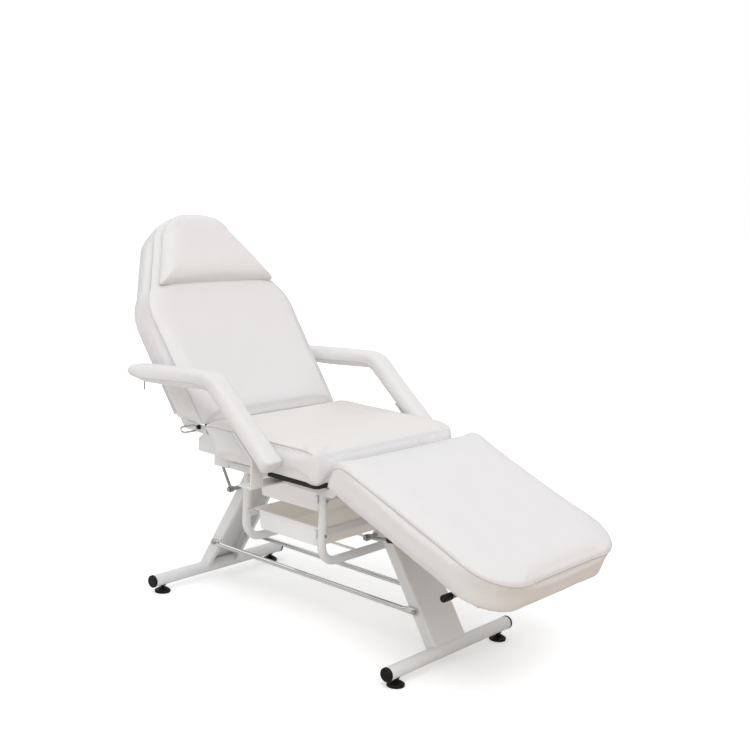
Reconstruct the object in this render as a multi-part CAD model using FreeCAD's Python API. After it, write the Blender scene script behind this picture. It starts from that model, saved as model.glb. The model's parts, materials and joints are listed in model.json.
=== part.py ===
import FreeCAD, Part
import math
import os

Vec = FreeCAD.Vector

# All lengths are in millimetres and all angles in degrees. X runs from the head to the foot
# end, Y to the sitter's left, Z up. The chair is laid out about the middle of its base, and
# at the end it is moved so that the origin lies under the middle of its outer box.

# Overall cushions
SEAT_W = 620.0
CUSHION_T = 98.0
SEAT_REAR = -248.0
SEAT_FRONT = 231.0
SEAT_UNDER_Z = 500.0
SEAT_CROWN = 17.0
CROWN_RUN = 150.0
SIDE_DRAW = 4.0
EDGE_ROUND = 12.0
SEAT_NOSE = 42.0
SEAT_REAR_SLANT = 66.0
SEAT_CORNER = 15.0
BOARD_T = 12.0
BOARD_INSET = 22.0
BOARD_PLAY = 0.3

# Poses of the two turning sections in the photograph
BACK_REST_ANGLE = 52.5
LEG_REST_ANGLE = 22.0

# Backrest, in its own frame: s runs up the backrest from the hinge, n out of its front
BACK_HINGE_X = -277.0
BACK_HINGE_Z = 556.0
BACK_FRONT_N = 42.0
BACK_TOP_S = 752.0
BACK_END_S = 2.0
BACK_END_SLANT = 79.0
BACK_END_HALF_W = 293.0
BACK_SHOULDER_S = 380.0
BACK_SHOULDER_HALF_W = 307.0
BACK_NECK_S = 486.0
BACK_NECK_HALF_W = 268.0
BACK_HEAD_S = 672.0
BACK_HEAD_HALF_W = 165.0
BACK_CROWN = 10.0

# Head pillow on the backrest
PILLOW_END_S = 488.0
PILLOW_TOP_S = 744.0
PILLOW_INSET = 20.0
PILLOW_T = 34.0
PILLOW_GAP = 0.3

# Leg rest, in its own frame: s runs toward the feet from the hinge, n up
LEG_HINGE_X = 250.0
LEG_HINGE_Z = 492.0
LEG_BOARD_N = 12.0
LEG_REAR_S = -15.0
LEG_LENGTH = 612.0
LEG_CUSHION_T = 100.0
LEG_REAR_SLANT = 16.0
LEG_CROWN = 12.0
LEG_CORNER = 125.0
LEG_REAR_CORNER = 12.0
LEG_NOSE = 45.0

# Foot tubes and their plugs
FOOT_LEN = 550.0
FOOT_OD = 38.0
FOOT_WALL = 1.8
FOOT_Z = 42.0
REAR_FOOT_X = -480.0
FRONT_FOOT_X = 480.0
CAP_OD = 40.0
CAP_T = 9.0
CAP_PLUG = 16.0
CAP_ROUND = 3.0

# Levelling feet, screwed into an insert in each foot tube
PAD_OD = 50.0
PAD_RIM_H = 6.0
PAD_H = 14.0
PAD_TOP_OD = 26.0
PAD_INSET = 37.5
STUD_OD = 10.0
STUD_LEN = 34.0
STUD_PLAY = 0.08
INSERT_OD = 18.0
INSERT_H = 14.0
INSERT_LIP = 1.6

# Sloping legs of folded sheet, open toward the middle of the chair
LEG_W = 142.0
LEG_DEPTH = 38.0
LEG_LIP = 16.0
LEG_SHEET = 2.5
LEG_BEND = 6.0
REAR_LEG_LEAN_ANGLE = 30.0
REAR_LEG_OUT = 25.0
FRONT_LEG_LEAN_ANGLE = 33.5
FRONT_LEG_OUT = 15.0

# Stretcher rods between the legs, with flattened and bolted ends
ROD_OD = 15.0
ROD_Z = 143.0
ROD_FLAT_T = 5.0
ROD_FLAT_W = 22.0
ROD_FLAT_LEN = 34.0
ROD_TAPER = 22.0
BOLT_D = 8.0
BOLT_HEAD_AF = 13.0
BOLT_HEAD_H = 5.5
WASHER_T = 1.5
FIT_PLAY = 0.05

# Seat frame of square tube under the seat board
TUBE = 30.0
TUBE_WALL = 1.8
TUBE_ROUND = 3.0
RAIL_Y = 218.0
RAIL_REAR = -258.0
RAIL_FRONT = 222.0

# Hinge plates, lugs and pins
PLATE_T = 5.0
PLATE_GAP = 0.5
EAR_R = 15.0
BACK_PLATE_REAR = -330.0
BACK_PLATE_TOP_Z = 528.0
LEG_EAR_R = 11.5
PIN_D = 10.0
PIN_HEAD_D = 17.0
PIN_HEAD_T = 4.0

# Section frames under the backrest and the leg rest
SLIM_TUBE = 25.0
BACK_RAIL_START = 62.0
BACK_RAIL_END = 476.0
BACK_CROSS_S = 460.0
LEG_RAIL_START = 30.0
LEG_RAIL_END = 520.0
LEG_CROSS_S = 505.0

# Hoops that carry the trays
HOOP_OD = 25.0
HOOP_WALL = 1.5
HOOP_REAR_X = -131.0
HOOP_FRONT_X = 173.0
HOOP_BAR_Z = 254.0
HOOP_BEND = 58.0
TIE_OD = 8.0
TIE_Y = 60.0

# Trays and their runners
TRAY_X = 275.0
TRAY_Y = 375.0
TRAY_H = 60.0
TRAY_WALL = 2.5
TRAY_RIM = 13.0
TRAY_DRAFT = 6.0
TRAY_ROUND = 14.0
UPPER_TRAY_FRONT_Y = -210.0
UPPER_TRAY_RIM_Z = 453.0
LOWER_TRAY_FRONT_Y = -210.0
LOWER_TRAY_RIM_Z = 352.0
RUNNER_T = 1.5
RUNNER_LEDGE = 9.0
RUNNER_H = 22.0
RUNNER_PLAY = 0.4
SCREW_D = 4.0
SCREW_HEAD_D = 9.0
SCREW_HEAD_T = 3.0

# Armrests: padded boomerangs on steel brackets
ARM_GAP = 5.0
ARM_W = 75.0
ARM_T = 50.0
ARM_ROUND = 20.0
ARM_REAR_X = -500.0
ARM_REAR_Z = 716.0
ARM_BEND_X = -142.0
ARM_BEND_Z = 744.0
ARM_FOOT_X = 104.0
ARM_FOOT_Z = 536.0
ARM_BEND_R = 62.0
ARM_TIP_R = 19.0
ARM_TIP_RUN = 78.0
BRACKET_T = 5.0
BRACKET_W = 46.0
BRACKET_RUN = 100.0
BRACKET_DROP_X = 40.0
ARM_STUD_D = 4.0
ARM_STUD_LEN = 26.0
ARM_STUD_X = -452.0

# Telescopic struts that hold the backrest and the leg rest
STRUT_Y = -107.0
STRUT_OD = 20.0
STRUT_WALL = 1.5
STRUT_ROD_D = 9.0
STRUT_PLAY = 0.3
STRUT_EYE_OD = 20.0
STRUT_EYE_W = 12.0
BACK_STRUT_X = -320.0
BACK_STRUT_Z = 347.0
BACK_STRUT_S = 300.0
BACK_STRUT_N = -118.0
BACK_STRUT_TUBE = 262.0
BACK_STRUT_ROD = 262.0
LEG_STRUT_X = 246.0
LEG_STRUT_Z = 327.0
LEG_STRUT_S = 260.0
LEG_STRUT_N = -34.0
LEG_STRUT_TUBE = 158.0
LEG_STRUT_ROD = 158.0
CHEEK_T = 4.0
CHEEK_W = 36.0
CHEEK_PLAY = 1.0

# Release levers
LOOP_WIRE = 6.0
LOOP_LEN = 58.0
LOOP_W = 25.0
LOOP_S = 32.0
LOOP_N = -31.0
FERRULE_OD = 12.0
FERRULE_LEN = 8.0
BUSH_OD = 14.0
BUSH_LEN = 5.0
LEVER_S = 452.0
LEVER_W = 18.0
LEVER_T = 4.0
LEVER_GAP = 1.0
LEVER_REACH = 62.0
LEVER_TAIL = 40.0
GRIP_OD = 20.0
GRIP_LEN = 34.0
GRIP_LAP = 20.0

# Overrun by which a cut passes the face it opens
CUT = 5.0

# Flat sides that stand in for a circle on small parts and on bent tube
HEX_SIDES = 6
SMALL_SIDES = 10
TUBE_SIDES = 16
PAD_SIDES = 24


# Plain solids and placing
def box(x0, x1, y0, y1, z0, z1):
    return Part.makeBox(x1 - x0, y1 - y0, z1 - z0, Vec(x0, y0, z0))


def rod(start, end, radius):
    run = end.sub(start)
    return Part.makeCylinder(radius, run.Length, start, run)


def y_rod(x, z, y0, y1, radius):
    return rod(Vec(x, y0, z), Vec(x, y1, z), radius)


def x_rod(y, z, x0, x1, radius):
    return rod(Vec(x0, y, z), Vec(x1, y, z), radius)


def z_rod(x, y, z0, z1, radius):
    return rod(Vec(x, y, z0), Vec(x, y, z1), radius)


def fused(shapes):
    whole = shapes[0]
    for other in shapes[1:]:
        whole = whole.fuse(other)
    return whole.removeSplitter()


def group(shapes):
    return Part.makeCompound(shapes)


def mirrored_y(shape):
    return shape.mirror(Vec(0, 0, 0), Vec(0, 1, 0))


def both_sides(shape):
    return group([shape, mirrored_y(shape)])


def turned(shape, x, z, angle):
    return shape.rotated(Vec(x, 0, z), Vec(0, 1, 0), angle)


def prism(points, y0, y1):
    wire = Part.makePolygon([Vec(x, y0, z) for x, z in points + points[:1]])
    return Part.Face(wire).extrude(Vec(0, y1 - y0, 0))


# A ring of equal sides about a centre, in the plane of two directions
def ring_face(centre, first, second, radius, sides):
    points = []
    for turn in range(sides):
        angle = 2 * math.pi * turn / sides
        offset = first * (radius * math.cos(angle)) + second * (radius * math.sin(angle))
        points.append(centre.add(offset))
    return Part.Face(Part.makePolygon(points + points[:1]))


# Straight and tapered rods with flat sides
def sided_cone(start, end, start_r, end_r, sides):
    run = end.sub(start)
    rings = []
    for radius, height in ((start_r, 0), (end_r, run.Length)):
        face = ring_face(Vec(0, 0, height), Vec(1, 0, 0), Vec(0, 1, 0), radius, sides)
        rings.append(face.OuterWire)
    body = Part.makeLoft(rings, True, True)
    body.Placement = FreeCAD.Placement(start, FreeCAD.Rotation(Vec(0, 0, 1), run))
    return body


def sided_rod(start, end, radius, sides):
    return sided_cone(start, end, radius, radius, sides)


# A bar of rounded rectangular section that runs up from the origin
def rounded_bar(width_x, width_y, radius, length):
    bar = Part.makeBox(width_x, width_y, length, Vec(-width_x / 2, -width_y / 2, 0))
    upright = [edge for edge in bar.Edges if edge.BoundBox.ZLength > length / 2]
    return bar.makeFillet(radius, upright)


def square_tube(side, wall, radius, start, end):
    run = end.sub(start)
    outer = rounded_bar(side, side, radius, run.Length)
    inner = rounded_bar(side - 2 * wall, side - 2 * wall, radius / 2, run.Length)
    tube = outer.cut(inner)
    tube.Placement = FreeCAD.Placement(start, FreeCAD.Rotation(Vec(0, 0, 1), run))
    return tube


# A hexagon bolt along Y with its head at the outer end, away from the middle
def hex_corner(across):
    return across / 2 / math.cos(math.pi / HEX_SIDES)


def hex_bolt(x, z, y_head, y_tip, d, across, head_h):
    way = 1 if y_head > y_tip else -1
    seat = Vec(x, y_head, z)
    head = sided_rod(seat, Vec(x, y_head + way * head_h, z), hex_corner(across), HEX_SIDES)
    return head.fuse(sided_rod(seat, Vec(x, y_tip, z), d / 2, SMALL_SIDES))


# Closed outlines of straight and curved stretches, drawn in by a distance. An outline is a
# list of points with the kind of stretch that follows: a line, or a curve through the next.
def drawn_in(points, distance):
    moved = []
    count = len(points)
    for index in range(count):
        before = points[index - 1]
        after = points[(index + 1) % count]
        dx = after[0] - before[0]
        dy = after[1] - before[1]
        size = math.hypot(dx, dy)
        here = points[index]
        moved.append((here[0] - distance * dy / size, here[1] + distance * dx / size, here[2]))
    return moved


def outline_wire(points, place):
    edges = []
    count = len(points)
    index = 0
    while index < count:
        start = place(points[index])
        if points[index][2] == "arc":
            middle = place(points[index + 1])
            end = place(points[(index + 2) % count])
            edges.append(Part.Arc(start, middle, end).toShape())
            index = index + 2
        else:
            end = place(points[(index + 1) % count])
            edges.append(Part.makeLine(start, end))
            index = index + 1
    return Part.Wire(edges)


def ruled_body(wires):
    return Part.makeLoft(wires, True, True)


# Points of a rounded corner, from one tangent point over its middle to the other
def corner(cx, cy, radius, start_angle, end_angle):
    points = []
    for share, kind in ((0, "arc"), (0.5, "mid"), (1, "line")):
        angle = math.radians(start_angle + (end_angle - start_angle) * share)
        points.append((cx + radius * math.cos(angle), cy + radius * math.sin(angle), kind))
    return points


def rounded_rectangle(x0, x1, half_w, r0, r1):
    points = corner(x1 - r1, -half_w + r1, r1, -90, 0)
    points += corner(x1 - r1, half_w - r1, r1, 0, 90)
    points += corner(x0 + r0, half_w - r0, r0, 90, 180)
    points += corner(x0 + r0, -half_w + r0, r0, 180, 270)
    return points


# Heights and insets of the rings that make a cushion: a drawn-in side, a rolled top edge
# and a crown that flattens toward the middle
EDGE_STEPS = 2
CROWN_STEPS = 2
SIDE_DRAW_SHARE = 0.5
ROLL_END_ANGLE = 80


def cushion_rings(z0, z1, crown, run):
    rings = [(z0, SIDE_DRAW)]
    rings.append((z0 + EDGE_ROUND / 2, 0))
    rings.append((z0 + (z1 - z0) * SIDE_DRAW_SHARE, SIDE_DRAW * SIDE_DRAW_SHARE))
    for step in range(EDGE_STEPS + 1):
        angle = math.radians(90 * step / (EDGE_STEPS + 1))
        height = z1 - EDGE_ROUND + EDGE_ROUND * math.sin(angle)
        rings.append((height, EDGE_ROUND - EDGE_ROUND * math.cos(angle)))
    for step in range(1, CROWN_STEPS + 1):
        share = step / CROWN_STEPS
        inset = EDGE_ROUND + (run - EDGE_ROUND) * share
        rings.append((z1 + crown * math.sin(math.radians(90 * share)), inset))
    return rings


# How far a rolled end draws back at a height: a quarter circle below the top edge
def nose_in(z, top, radius):
    rise = max(0, min(radius, z - (top - radius)))
    return radius - math.sqrt(radius * radius - rise * rise)


# The seat: a crowned cushion on a board, with rolled ends toward both neighbours
REAR_NOSE_SHARE = 0.12


def seat_cushion():
    z0 = SEAT_UNDER_Z
    z1 = SEAT_UNDER_Z + CUSHION_T
    wires = []
    for z, inset in cushion_rings(z0, z1, SEAT_CROWN, CROWN_RUN):
        slant = SEAT_REAR_SLANT * max(0, 1 - (z - z0) / CUSHION_T)
        x0 = SEAT_REAR + slant + nose_in(z, z1, SEAT_NOSE * REAR_NOSE_SHARE) + inset
        x1 = SEAT_FRONT - nose_in(z, z1, SEAT_NOSE) - inset
        points = rounded_rectangle(x0, x1, SEAT_W / 2 - inset, SEAT_CORNER, SEAT_CORNER)
        wires.append(outline_wire(points, lambda p, level=z: Vec(p[0], p[1], level)))
    return ruled_body(wires)


def seat_board():
    x0 = SEAT_REAR + SEAT_REAR_SLANT + BOARD_INSET
    x1 = SEAT_FRONT - BOARD_INSET
    points = rounded_rectangle(x0, x1, SEAT_W / 2 - BOARD_INSET, SEAT_CORNER, SEAT_CORNER)
    wire = outline_wire(points, lambda p: Vec(p[0], p[1], SEAT_UNDER_Z - BOARD_T))
    return Part.Face(wire).extrude(Vec(0, 0, BOARD_T))


# The backrest, laid flat toward the head with its hinge line at the named place
def back_x(s):
    return BACK_HINGE_X - s


def back_end_s(n):
    return BACK_END_S + (BACK_FRONT_N - n) * BACK_END_SLANT / CUSHION_T


SHOULDER_MID_S_SHARE = 0.6
SHOULDER_MID_W_SHARE = 0.28
BACK_NOSE_SHARE = 0.12


def back_outline(end_s):
    middle_s = BACK_SHOULDER_S + (BACK_NECK_S - BACK_SHOULDER_S) * SHOULDER_MID_S_SHARE
    drop = (BACK_SHOULDER_HALF_W - BACK_NECK_HALF_W) * SHOULDER_MID_W_SHARE
    side = [
        (end_s, BACK_END_HALF_W, "line"),
        (BACK_SHOULDER_S, BACK_SHOULDER_HALF_W, "arc"),
        (middle_s, BACK_SHOULDER_HALF_W - drop, "mid"),
        (BACK_NECK_S, BACK_NECK_HALF_W, "line"),
        (BACK_HEAD_S, BACK_HEAD_HALF_W, "arc"),
    ]
    kinds = ["line", "arc", "mid", "line", "line"]
    points = [(s, -half, kind) for s, half, kind in side]
    points.append((BACK_TOP_S, 0, "mid"))
    for (s, half, kind), back_kind in zip(reversed(side), kinds):
        points.append((s, half, back_kind))
    return points


def back_cushion_flat():
    n0 = BACK_FRONT_N - CUSHION_T
    wires = []
    for n, inset in cushion_rings(n0, BACK_FRONT_N, BACK_CROWN, CROWN_RUN / 2):
        end = back_end_s(min(n, BACK_FRONT_N))
        end += nose_in(n, BACK_FRONT_N, SEAT_NOSE * BACK_NOSE_SHARE)
        points = drawn_in(back_outline(end), inset)
        level = BACK_HINGE_Z + n
        wires.append(outline_wire(points, lambda p, z=level: Vec(back_x(p[0]), p[1], z)))
    return ruled_body(wires)


def back_board_flat():
    n1 = BACK_FRONT_N - CUSHION_T
    points = drawn_in(back_outline(back_end_s(n1)), BOARD_INSET)
    wire = outline_wire(points, lambda p: Vec(back_x(p[0]), p[1], BACK_HINGE_Z + n1 - BOARD_T))
    return Part.Face(wire).extrude(Vec(0, 0, BOARD_T))


# The head pillow follows the narrow end of the backrest, with a straight lower edge
def pillow_outline():
    share = (PILLOW_END_S - BACK_NECK_S) / (BACK_HEAD_S - BACK_NECK_S)
    end_half = BACK_NECK_HALF_W + (BACK_HEAD_HALF_W - BACK_NECK_HALF_W) * share - PILLOW_INSET
    head_half = BACK_HEAD_HALF_W - PILLOW_INSET
    return [
        (PILLOW_END_S, -end_half, "line"),
        (BACK_HEAD_S, -head_half, "arc"),
        (PILLOW_TOP_S, 0, "mid"),
        (BACK_HEAD_S, head_half, "line"),
        (PILLOW_END_S, end_half, "line"),
    ]


def pillow_flat():
    n0 = BACK_FRONT_N + BACK_CROWN + PILLOW_GAP
    half_t = PILLOW_T / 2
    wires = []
    for step in range(-EDGE_STEPS, EDGE_STEPS + 1):
        angle = math.radians(ROLL_END_ANGLE * step / EDGE_STEPS)
        rise = half_t + half_t * math.sin(angle) / math.sin(math.radians(ROLL_END_ANGLE))
        inset = half_t * (1 - math.cos(angle))
        level = BACK_HINGE_Z + n0 + rise
        points = drawn_in(pillow_outline(), inset)
        wires.append(outline_wire(points, lambda p, z=level: Vec(back_x(p[0]), p[1], z)))
    return ruled_body(wires)


# The leg rest, laid flat toward the feet
def leg_x(s):
    return LEG_HINGE_X + s


def leg_end_s(n):
    share = (n - LEG_BOARD_N) / LEG_CUSHION_T
    return LEG_REAR_S + LEG_REAR_SLANT * max(0, 1 - share)


def leg_cushion_flat():
    n0 = LEG_BOARD_N
    n1 = n0 + LEG_CUSHION_T
    wires = []
    for n, inset in cushion_rings(n0, n1, LEG_CROWN, CROWN_RUN * SIDE_DRAW_SHARE):
        s0 = leg_end_s(n) + nose_in(n, n1, LEG_NOSE) + inset
        s1 = LEG_REAR_S + LEG_LENGTH - inset
        points = rounded_rectangle(s0, s1, SEAT_W / 2 - inset, LEG_REAR_CORNER, LEG_CORNER)
        level = LEG_HINGE_Z + n
        wires.append(outline_wire(points, lambda p, z=level: Vec(leg_x(p[0]), p[1], z)))
    return ruled_body(wires).cut(leg_panel(-BOARD_PLAY))


# The leg rest's board lies in a pocket, so that the cover wraps over its edge
def leg_panel(inset):
    s0 = LEG_REAR_S + LEG_REAR_SLANT + BOARD_INSET + inset
    s1 = LEG_REAR_S + LEG_LENGTH - BOARD_INSET - inset
    half = SEAT_W / 2 - BOARD_INSET - inset
    points = rounded_rectangle(s0, s1, half, LEG_REAR_CORNER, LEG_CORNER - BOARD_INSET)
    wire = outline_wire(points, lambda p: Vec(leg_x(p[0]), p[1], LEG_HINGE_Z + LEG_BOARD_N))
    return Part.Face(wire).extrude(Vec(0, 0, BOARD_T))


def leg_board_flat():
    return leg_panel(0)


# Frames of slim square tube under the turning sections
def slim_tube(start, end):
    return square_tube(SLIM_TUBE, TUBE_WALL, TUBE_ROUND, start, end)


def slim_rail_y():
    return RAIL_Y + TUBE / 2 + PLATE_T + PLATE_GAP - SLIM_TUBE / 2


def back_rail_n():
    return BACK_FRONT_N - CUSHION_T - BOARD_T - SLIM_TUBE / 2


def back_rail_flat():
    z = BACK_HINGE_Z + back_rail_n()
    start = Vec(back_x(BACK_RAIL_START), slim_rail_y(), z)
    return slim_tube(start, Vec(back_x(BACK_RAIL_END), slim_rail_y(), z))


def slim_cross(x, z):
    half = slim_rail_y() - SLIM_TUBE / 2
    return slim_tube(Vec(x, -half, z), Vec(x, half, z))


def back_cross_flat(s):
    return slim_cross(back_x(s), BACK_HINGE_Z + back_rail_n())


def leg_rail_n():
    return LEG_BOARD_N - SLIM_TUBE / 2


def leg_rail_flat():
    z = LEG_HINGE_Z + leg_rail_n()
    start = Vec(leg_x(LEG_RAIL_START), slim_rail_y(), z)
    return slim_tube(start, Vec(leg_x(LEG_RAIL_END), slim_rail_y(), z))


def leg_cross_flat(s):
    return slim_cross(leg_x(s), LEG_HINGE_Z + leg_rail_n())


# Hinge plates on the seat frame, lugs on the turning frames, and the pins through both
def plate(points, y0, boss_x, boss_z, boss_r, bore):
    body = prism(points, y0, y0 + PLATE_T)
    body = body.fuse(y_rod(boss_x, boss_z, y0, y0 + PLATE_T, boss_r))
    hole = y_rod(boss_x, boss_z, y0 - CUT, y0 + PLATE_T + CUT, bore / 2)
    return body.cut(hole).removeSplitter()


def frame_top():
    return SEAT_UNDER_Z - BOARD_T


def frame_under():
    return frame_top() - TUBE


def back_ear():
    y0 = RAIL_Y + TUBE / 2
    points = [
        (BACK_HINGE_X - EAR_R, BACK_HINGE_Z),
        (BACK_PLATE_REAR, BACK_PLATE_TOP_Z),
        (BACK_PLATE_REAR, frame_top()),
        (RAIL_REAR, frame_top()),
        (RAIL_REAR, frame_under()),
        (RAIL_REAR + 2 * TUBE, frame_under()),
        (RAIL_REAR + 2 * TUBE, frame_top() - BOARD_T / 2),
        (BACK_HINGE_X + EAR_R, BACK_HINGE_Z),
    ]
    return plate(points, y0, BACK_HINGE_X, BACK_HINGE_Z, EAR_R, PIN_D + FIT_PLAY)


def lug_y():
    return RAIL_Y + TUBE / 2 + PLATE_T + PLATE_GAP


def back_lug_flat():
    n0 = back_rail_n() - SLIM_TUBE / 2
    z0 = BACK_HINGE_Z + n0
    points = [
        (back_x(-EAR_R), BACK_HINGE_Z),
        (back_x(BACK_RAIL_START), z0),
        (back_x(BACK_RAIL_START + 2 * SLIM_TUBE), z0),
        (back_x(BACK_RAIL_START + 2 * SLIM_TUBE), z0 + SLIM_TUBE),
        (back_x(BACK_RAIL_START + SLIM_TUBE / 2), z0 + SLIM_TUBE),
        (back_x(EAR_R), BACK_HINGE_Z),
    ]
    return plate(points, lug_y(), BACK_HINGE_X, BACK_HINGE_Z, EAR_R, PIN_D + 2 * FIT_PLAY)


def leg_ear():
    y0 = RAIL_Y + TUBE / 2
    points = [
        (LEG_HINGE_X, LEG_HINGE_Z - LEG_EAR_R),
        (LEG_HINGE_X - LEG_EAR_R, LEG_HINGE_Z),
        (LEG_HINGE_X - LEG_EAR_R, frame_top() - BOARD_T / 2),
        (RAIL_FRONT - 2 * TUBE, frame_top() - BOARD_T / 2),
        (RAIL_FRONT - 2 * TUBE, frame_under()),
        (RAIL_FRONT, frame_under()),
    ]
    return plate(points, y0, LEG_HINGE_X, LEG_HINGE_Z, LEG_EAR_R, PIN_D + FIT_PLAY)


def leg_lug_flat():
    z = LEG_HINGE_Z + leg_rail_n()
    points = [
        (LEG_HINGE_X, z - LEG_EAR_R),
        (leg_x(LEG_RAIL_START + 2 * SLIM_TUBE), z - LEG_EAR_R),
        (leg_x(LEG_RAIL_START + 2 * SLIM_TUBE), z + LEG_EAR_R),
        (LEG_HINGE_X, z + LEG_EAR_R),
    ]
    return plate(points, lug_y(), LEG_HINGE_X, LEG_HINGE_Z, LEG_EAR_R, PIN_D + 2 * FIT_PLAY)


def hinge_pin(x, z):
    y0 = RAIL_Y + TUBE / 2
    y1 = lug_y() + PLATE_T + PLATE_GAP
    shank = y_rod(x, z, y0, y1, PIN_D / 2)
    head = sided_rod(Vec(x, y1, z), Vec(x, y1 + PIN_HEAD_T, z), PIN_HEAD_D / 2, SMALL_SIDES)
    return shank.fuse(head).removeSplitter()


def hinge_pins():
    pins = [hinge_pin(BACK_HINGE_X, BACK_HINGE_Z), hinge_pin(LEG_HINGE_X, LEG_HINGE_Z)]
    return group(pins + [mirrored_y(pin) for pin in pins])


# Foot tubes, end plugs, inserts and levelling feet
def pad_y():
    return FOOT_LEN / 2 - PAD_INSET


def foot_tube(x):
    half = FOOT_LEN / 2
    tube = y_rod(x, FOOT_Z, -half, half, FOOT_OD / 2)
    tube = tube.cut(y_rod(x, FOOT_Z, -half - CUT, half + CUT, FOOT_OD / 2 - FOOT_WALL))
    for y in (-pad_y(), pad_y()):
        low = Vec(x, y, 0)
        hole = sided_rod(low, Vec(x, y, FOOT_Z), INSERT_OD / 2 + FIT_PLAY, SMALL_SIDES)
        tube = tube.cut(hole)
    return tube


def foot_cap(x):
    half = FOOT_LEN / 2
    face = Vec(x, half, FOOT_Z)
    edge = Vec(x, half + CAP_T - CAP_ROUND, FOOT_Z)
    plug_r = FOOT_OD / 2 - FOOT_WALL - FIT_PLAY
    plug = sided_rod(Vec(x, half - CAP_PLUG, FOOT_Z), face, plug_r, TUBE_SIDES)
    head = sided_rod(face, edge, CAP_OD / 2, PAD_SIDES)
    end = Vec(x, half + CAP_T, FOOT_Z)
    rim = sided_cone(edge, end, CAP_OD / 2, CAP_OD / 2 - CAP_ROUND, PAD_SIDES)
    return fused([plug, head, rim])


def foot_caps():
    caps = [foot_cap(REAR_FOOT_X), foot_cap(FRONT_FOOT_X)]
    return group(caps + [mirrored_y(cap) for cap in caps])


def insert(x, y):
    z0 = FOOT_Z - FOOT_OD / 2
    low = Vec(x, y, z0)
    body = sided_rod(low, Vec(x, y, z0 + INSERT_H), INSERT_OD / 2, SMALL_SIDES)
    lip = sided_rod(Vec(x, y, z0 - INSERT_LIP), low, INSERT_OD / 2 + INSERT_LIP, SMALL_SIDES)
    bore = z_rod(x, y, z0 - CUT, z0 + INSERT_H + CUT, STUD_OD / 2 + STUD_PLAY)
    return body.fuse(lip).cut(bore).removeSplitter()


def foot_inserts():
    places = [(x, y) for x in (REAR_FOOT_X, FRONT_FOOT_X) for y in (-pad_y(), pad_y())]
    return group([insert(x, y) for x, y in places])


def levelling_foot(x, y):
    rim = Vec(x, y, PAD_RIM_H)
    disc = sided_rod(Vec(x, y, 0), rim, PAD_OD / 2, PAD_SIDES)
    hub = sided_cone(rim, Vec(x, y, PAD_H), PAD_OD / 2, PAD_TOP_OD / 2, PAD_SIDES)
    stud = z_rod(x, y, PAD_H / 2, PAD_H + STUD_LEN, STUD_OD / 2)
    return fused([disc, hub, stud])


# A sloping leg: a lipped channel, coped over its foot tube and cut level under the frame
def leg_channel(length):
    outer = rounded_bar(LEG_DEPTH, LEG_W, LEG_BEND, length)
    inner_bend = LEG_BEND - LEG_SHEET
    inner = rounded_bar(LEG_DEPTH - 2 * LEG_SHEET, LEG_W - 2 * LEG_SHEET, inner_bend, length)
    mouth = LEG_W / 2 - LEG_LIP
    slot = box(0, LEG_DEPTH, -mouth, mouth, 0, length)
    return outer.cut(inner).cut(slot).removeSplitter()


def leg(foot_x, out, lean, way):
    angle = math.radians(lean)
    length = SEAT_UNDER_Z / math.cos(angle)
    axis = Vec(way * math.sin(angle), 0, math.cos(angle))
    inward = Vec(way * math.cos(angle), 0, -math.sin(angle))
    outer_foot = Vec(foot_x - way * out, 0, FOOT_Z)
    start = outer_foot.add(inward * (LEG_DEPTH / 2)).sub(axis * (FOOT_Z / math.cos(angle)))
    body = leg_channel(length + 2 * LEG_DEPTH)
    side = axis.cross(inward)
    turn = FreeCAD.Rotation(inward, side, axis, "ZXY")
    body.Placement = FreeCAD.Placement(start, turn)
    reach = FRONT_FOOT_X - REAR_FOOT_X
    keep = box(-reach, reach, -LEG_W, LEG_W, FOOT_Z, frame_under())
    tube = y_rod(foot_x, FOOT_Z, -LEG_W, LEG_W, FOOT_OD / 2)
    return body.common(keep).cut(tube)


def rear_leg():
    body = leg(REAR_FOOT_X, REAR_LEG_OUT, REAR_LEG_LEAN_ANGLE, 1)
    for x, z in (leg_rod_end(1), (BACK_STRUT_X, BACK_STRUT_Z)):
        body = body.cut(y_rod(x, z, -LEG_W, LEG_W, BOLT_D / 2 + FIT_PLAY))
    return body


def front_leg():
    body = leg(FRONT_FOOT_X, FRONT_LEG_OUT, FRONT_LEG_LEAN_ANGLE, -1)
    x, z = leg_rod_end(-1)
    body = body.cut(y_rod(x, z, -LEG_W, LEG_W, BOLT_D / 2 + FIT_PLAY))
    return fused([body, strut_tab()])


# The place of a leg's middle line at a height
def leg_middle_x(way, z):
    if way > 0:
        foot, out, lean = REAR_FOOT_X, REAR_LEG_OUT, REAR_LEG_LEAN_ANGLE
    else:
        foot, out, lean = FRONT_FOOT_X, FRONT_LEG_OUT, FRONT_LEG_LEAN_ANGLE
    slope = math.radians(lean)
    outer = foot - way * out + way * (z - FOOT_Z) * math.tan(slope)
    return outer + way * LEG_DEPTH / 2 / math.cos(slope)


def leg_rod_end(way):
    return leg_middle_x(way, ROD_Z), ROD_Z


# A welded tab that carries the lower bolt of the leg rest's strut
def strut_tab():
    y0 = -LEG_W / 2 + LEG_SHEET
    x1 = leg_middle_x(-1, LEG_STRUT_Z)
    low_x = min(LEG_STRUT_X, x1 - EAR_R)
    tab = box(low_x, x1, y0, y0 + PLATE_T, LEG_STRUT_Z - EAR_R, LEG_STRUT_Z + EAR_R)
    tab = tab.fuse(y_rod(LEG_STRUT_X, LEG_STRUT_Z, y0, y0 + PLATE_T, EAR_R))
    return tab.cut(y_rod(LEG_STRUT_X, LEG_STRUT_Z, -LEG_W, LEG_W, BOLT_D / 2 + FIT_PLAY))


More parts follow.
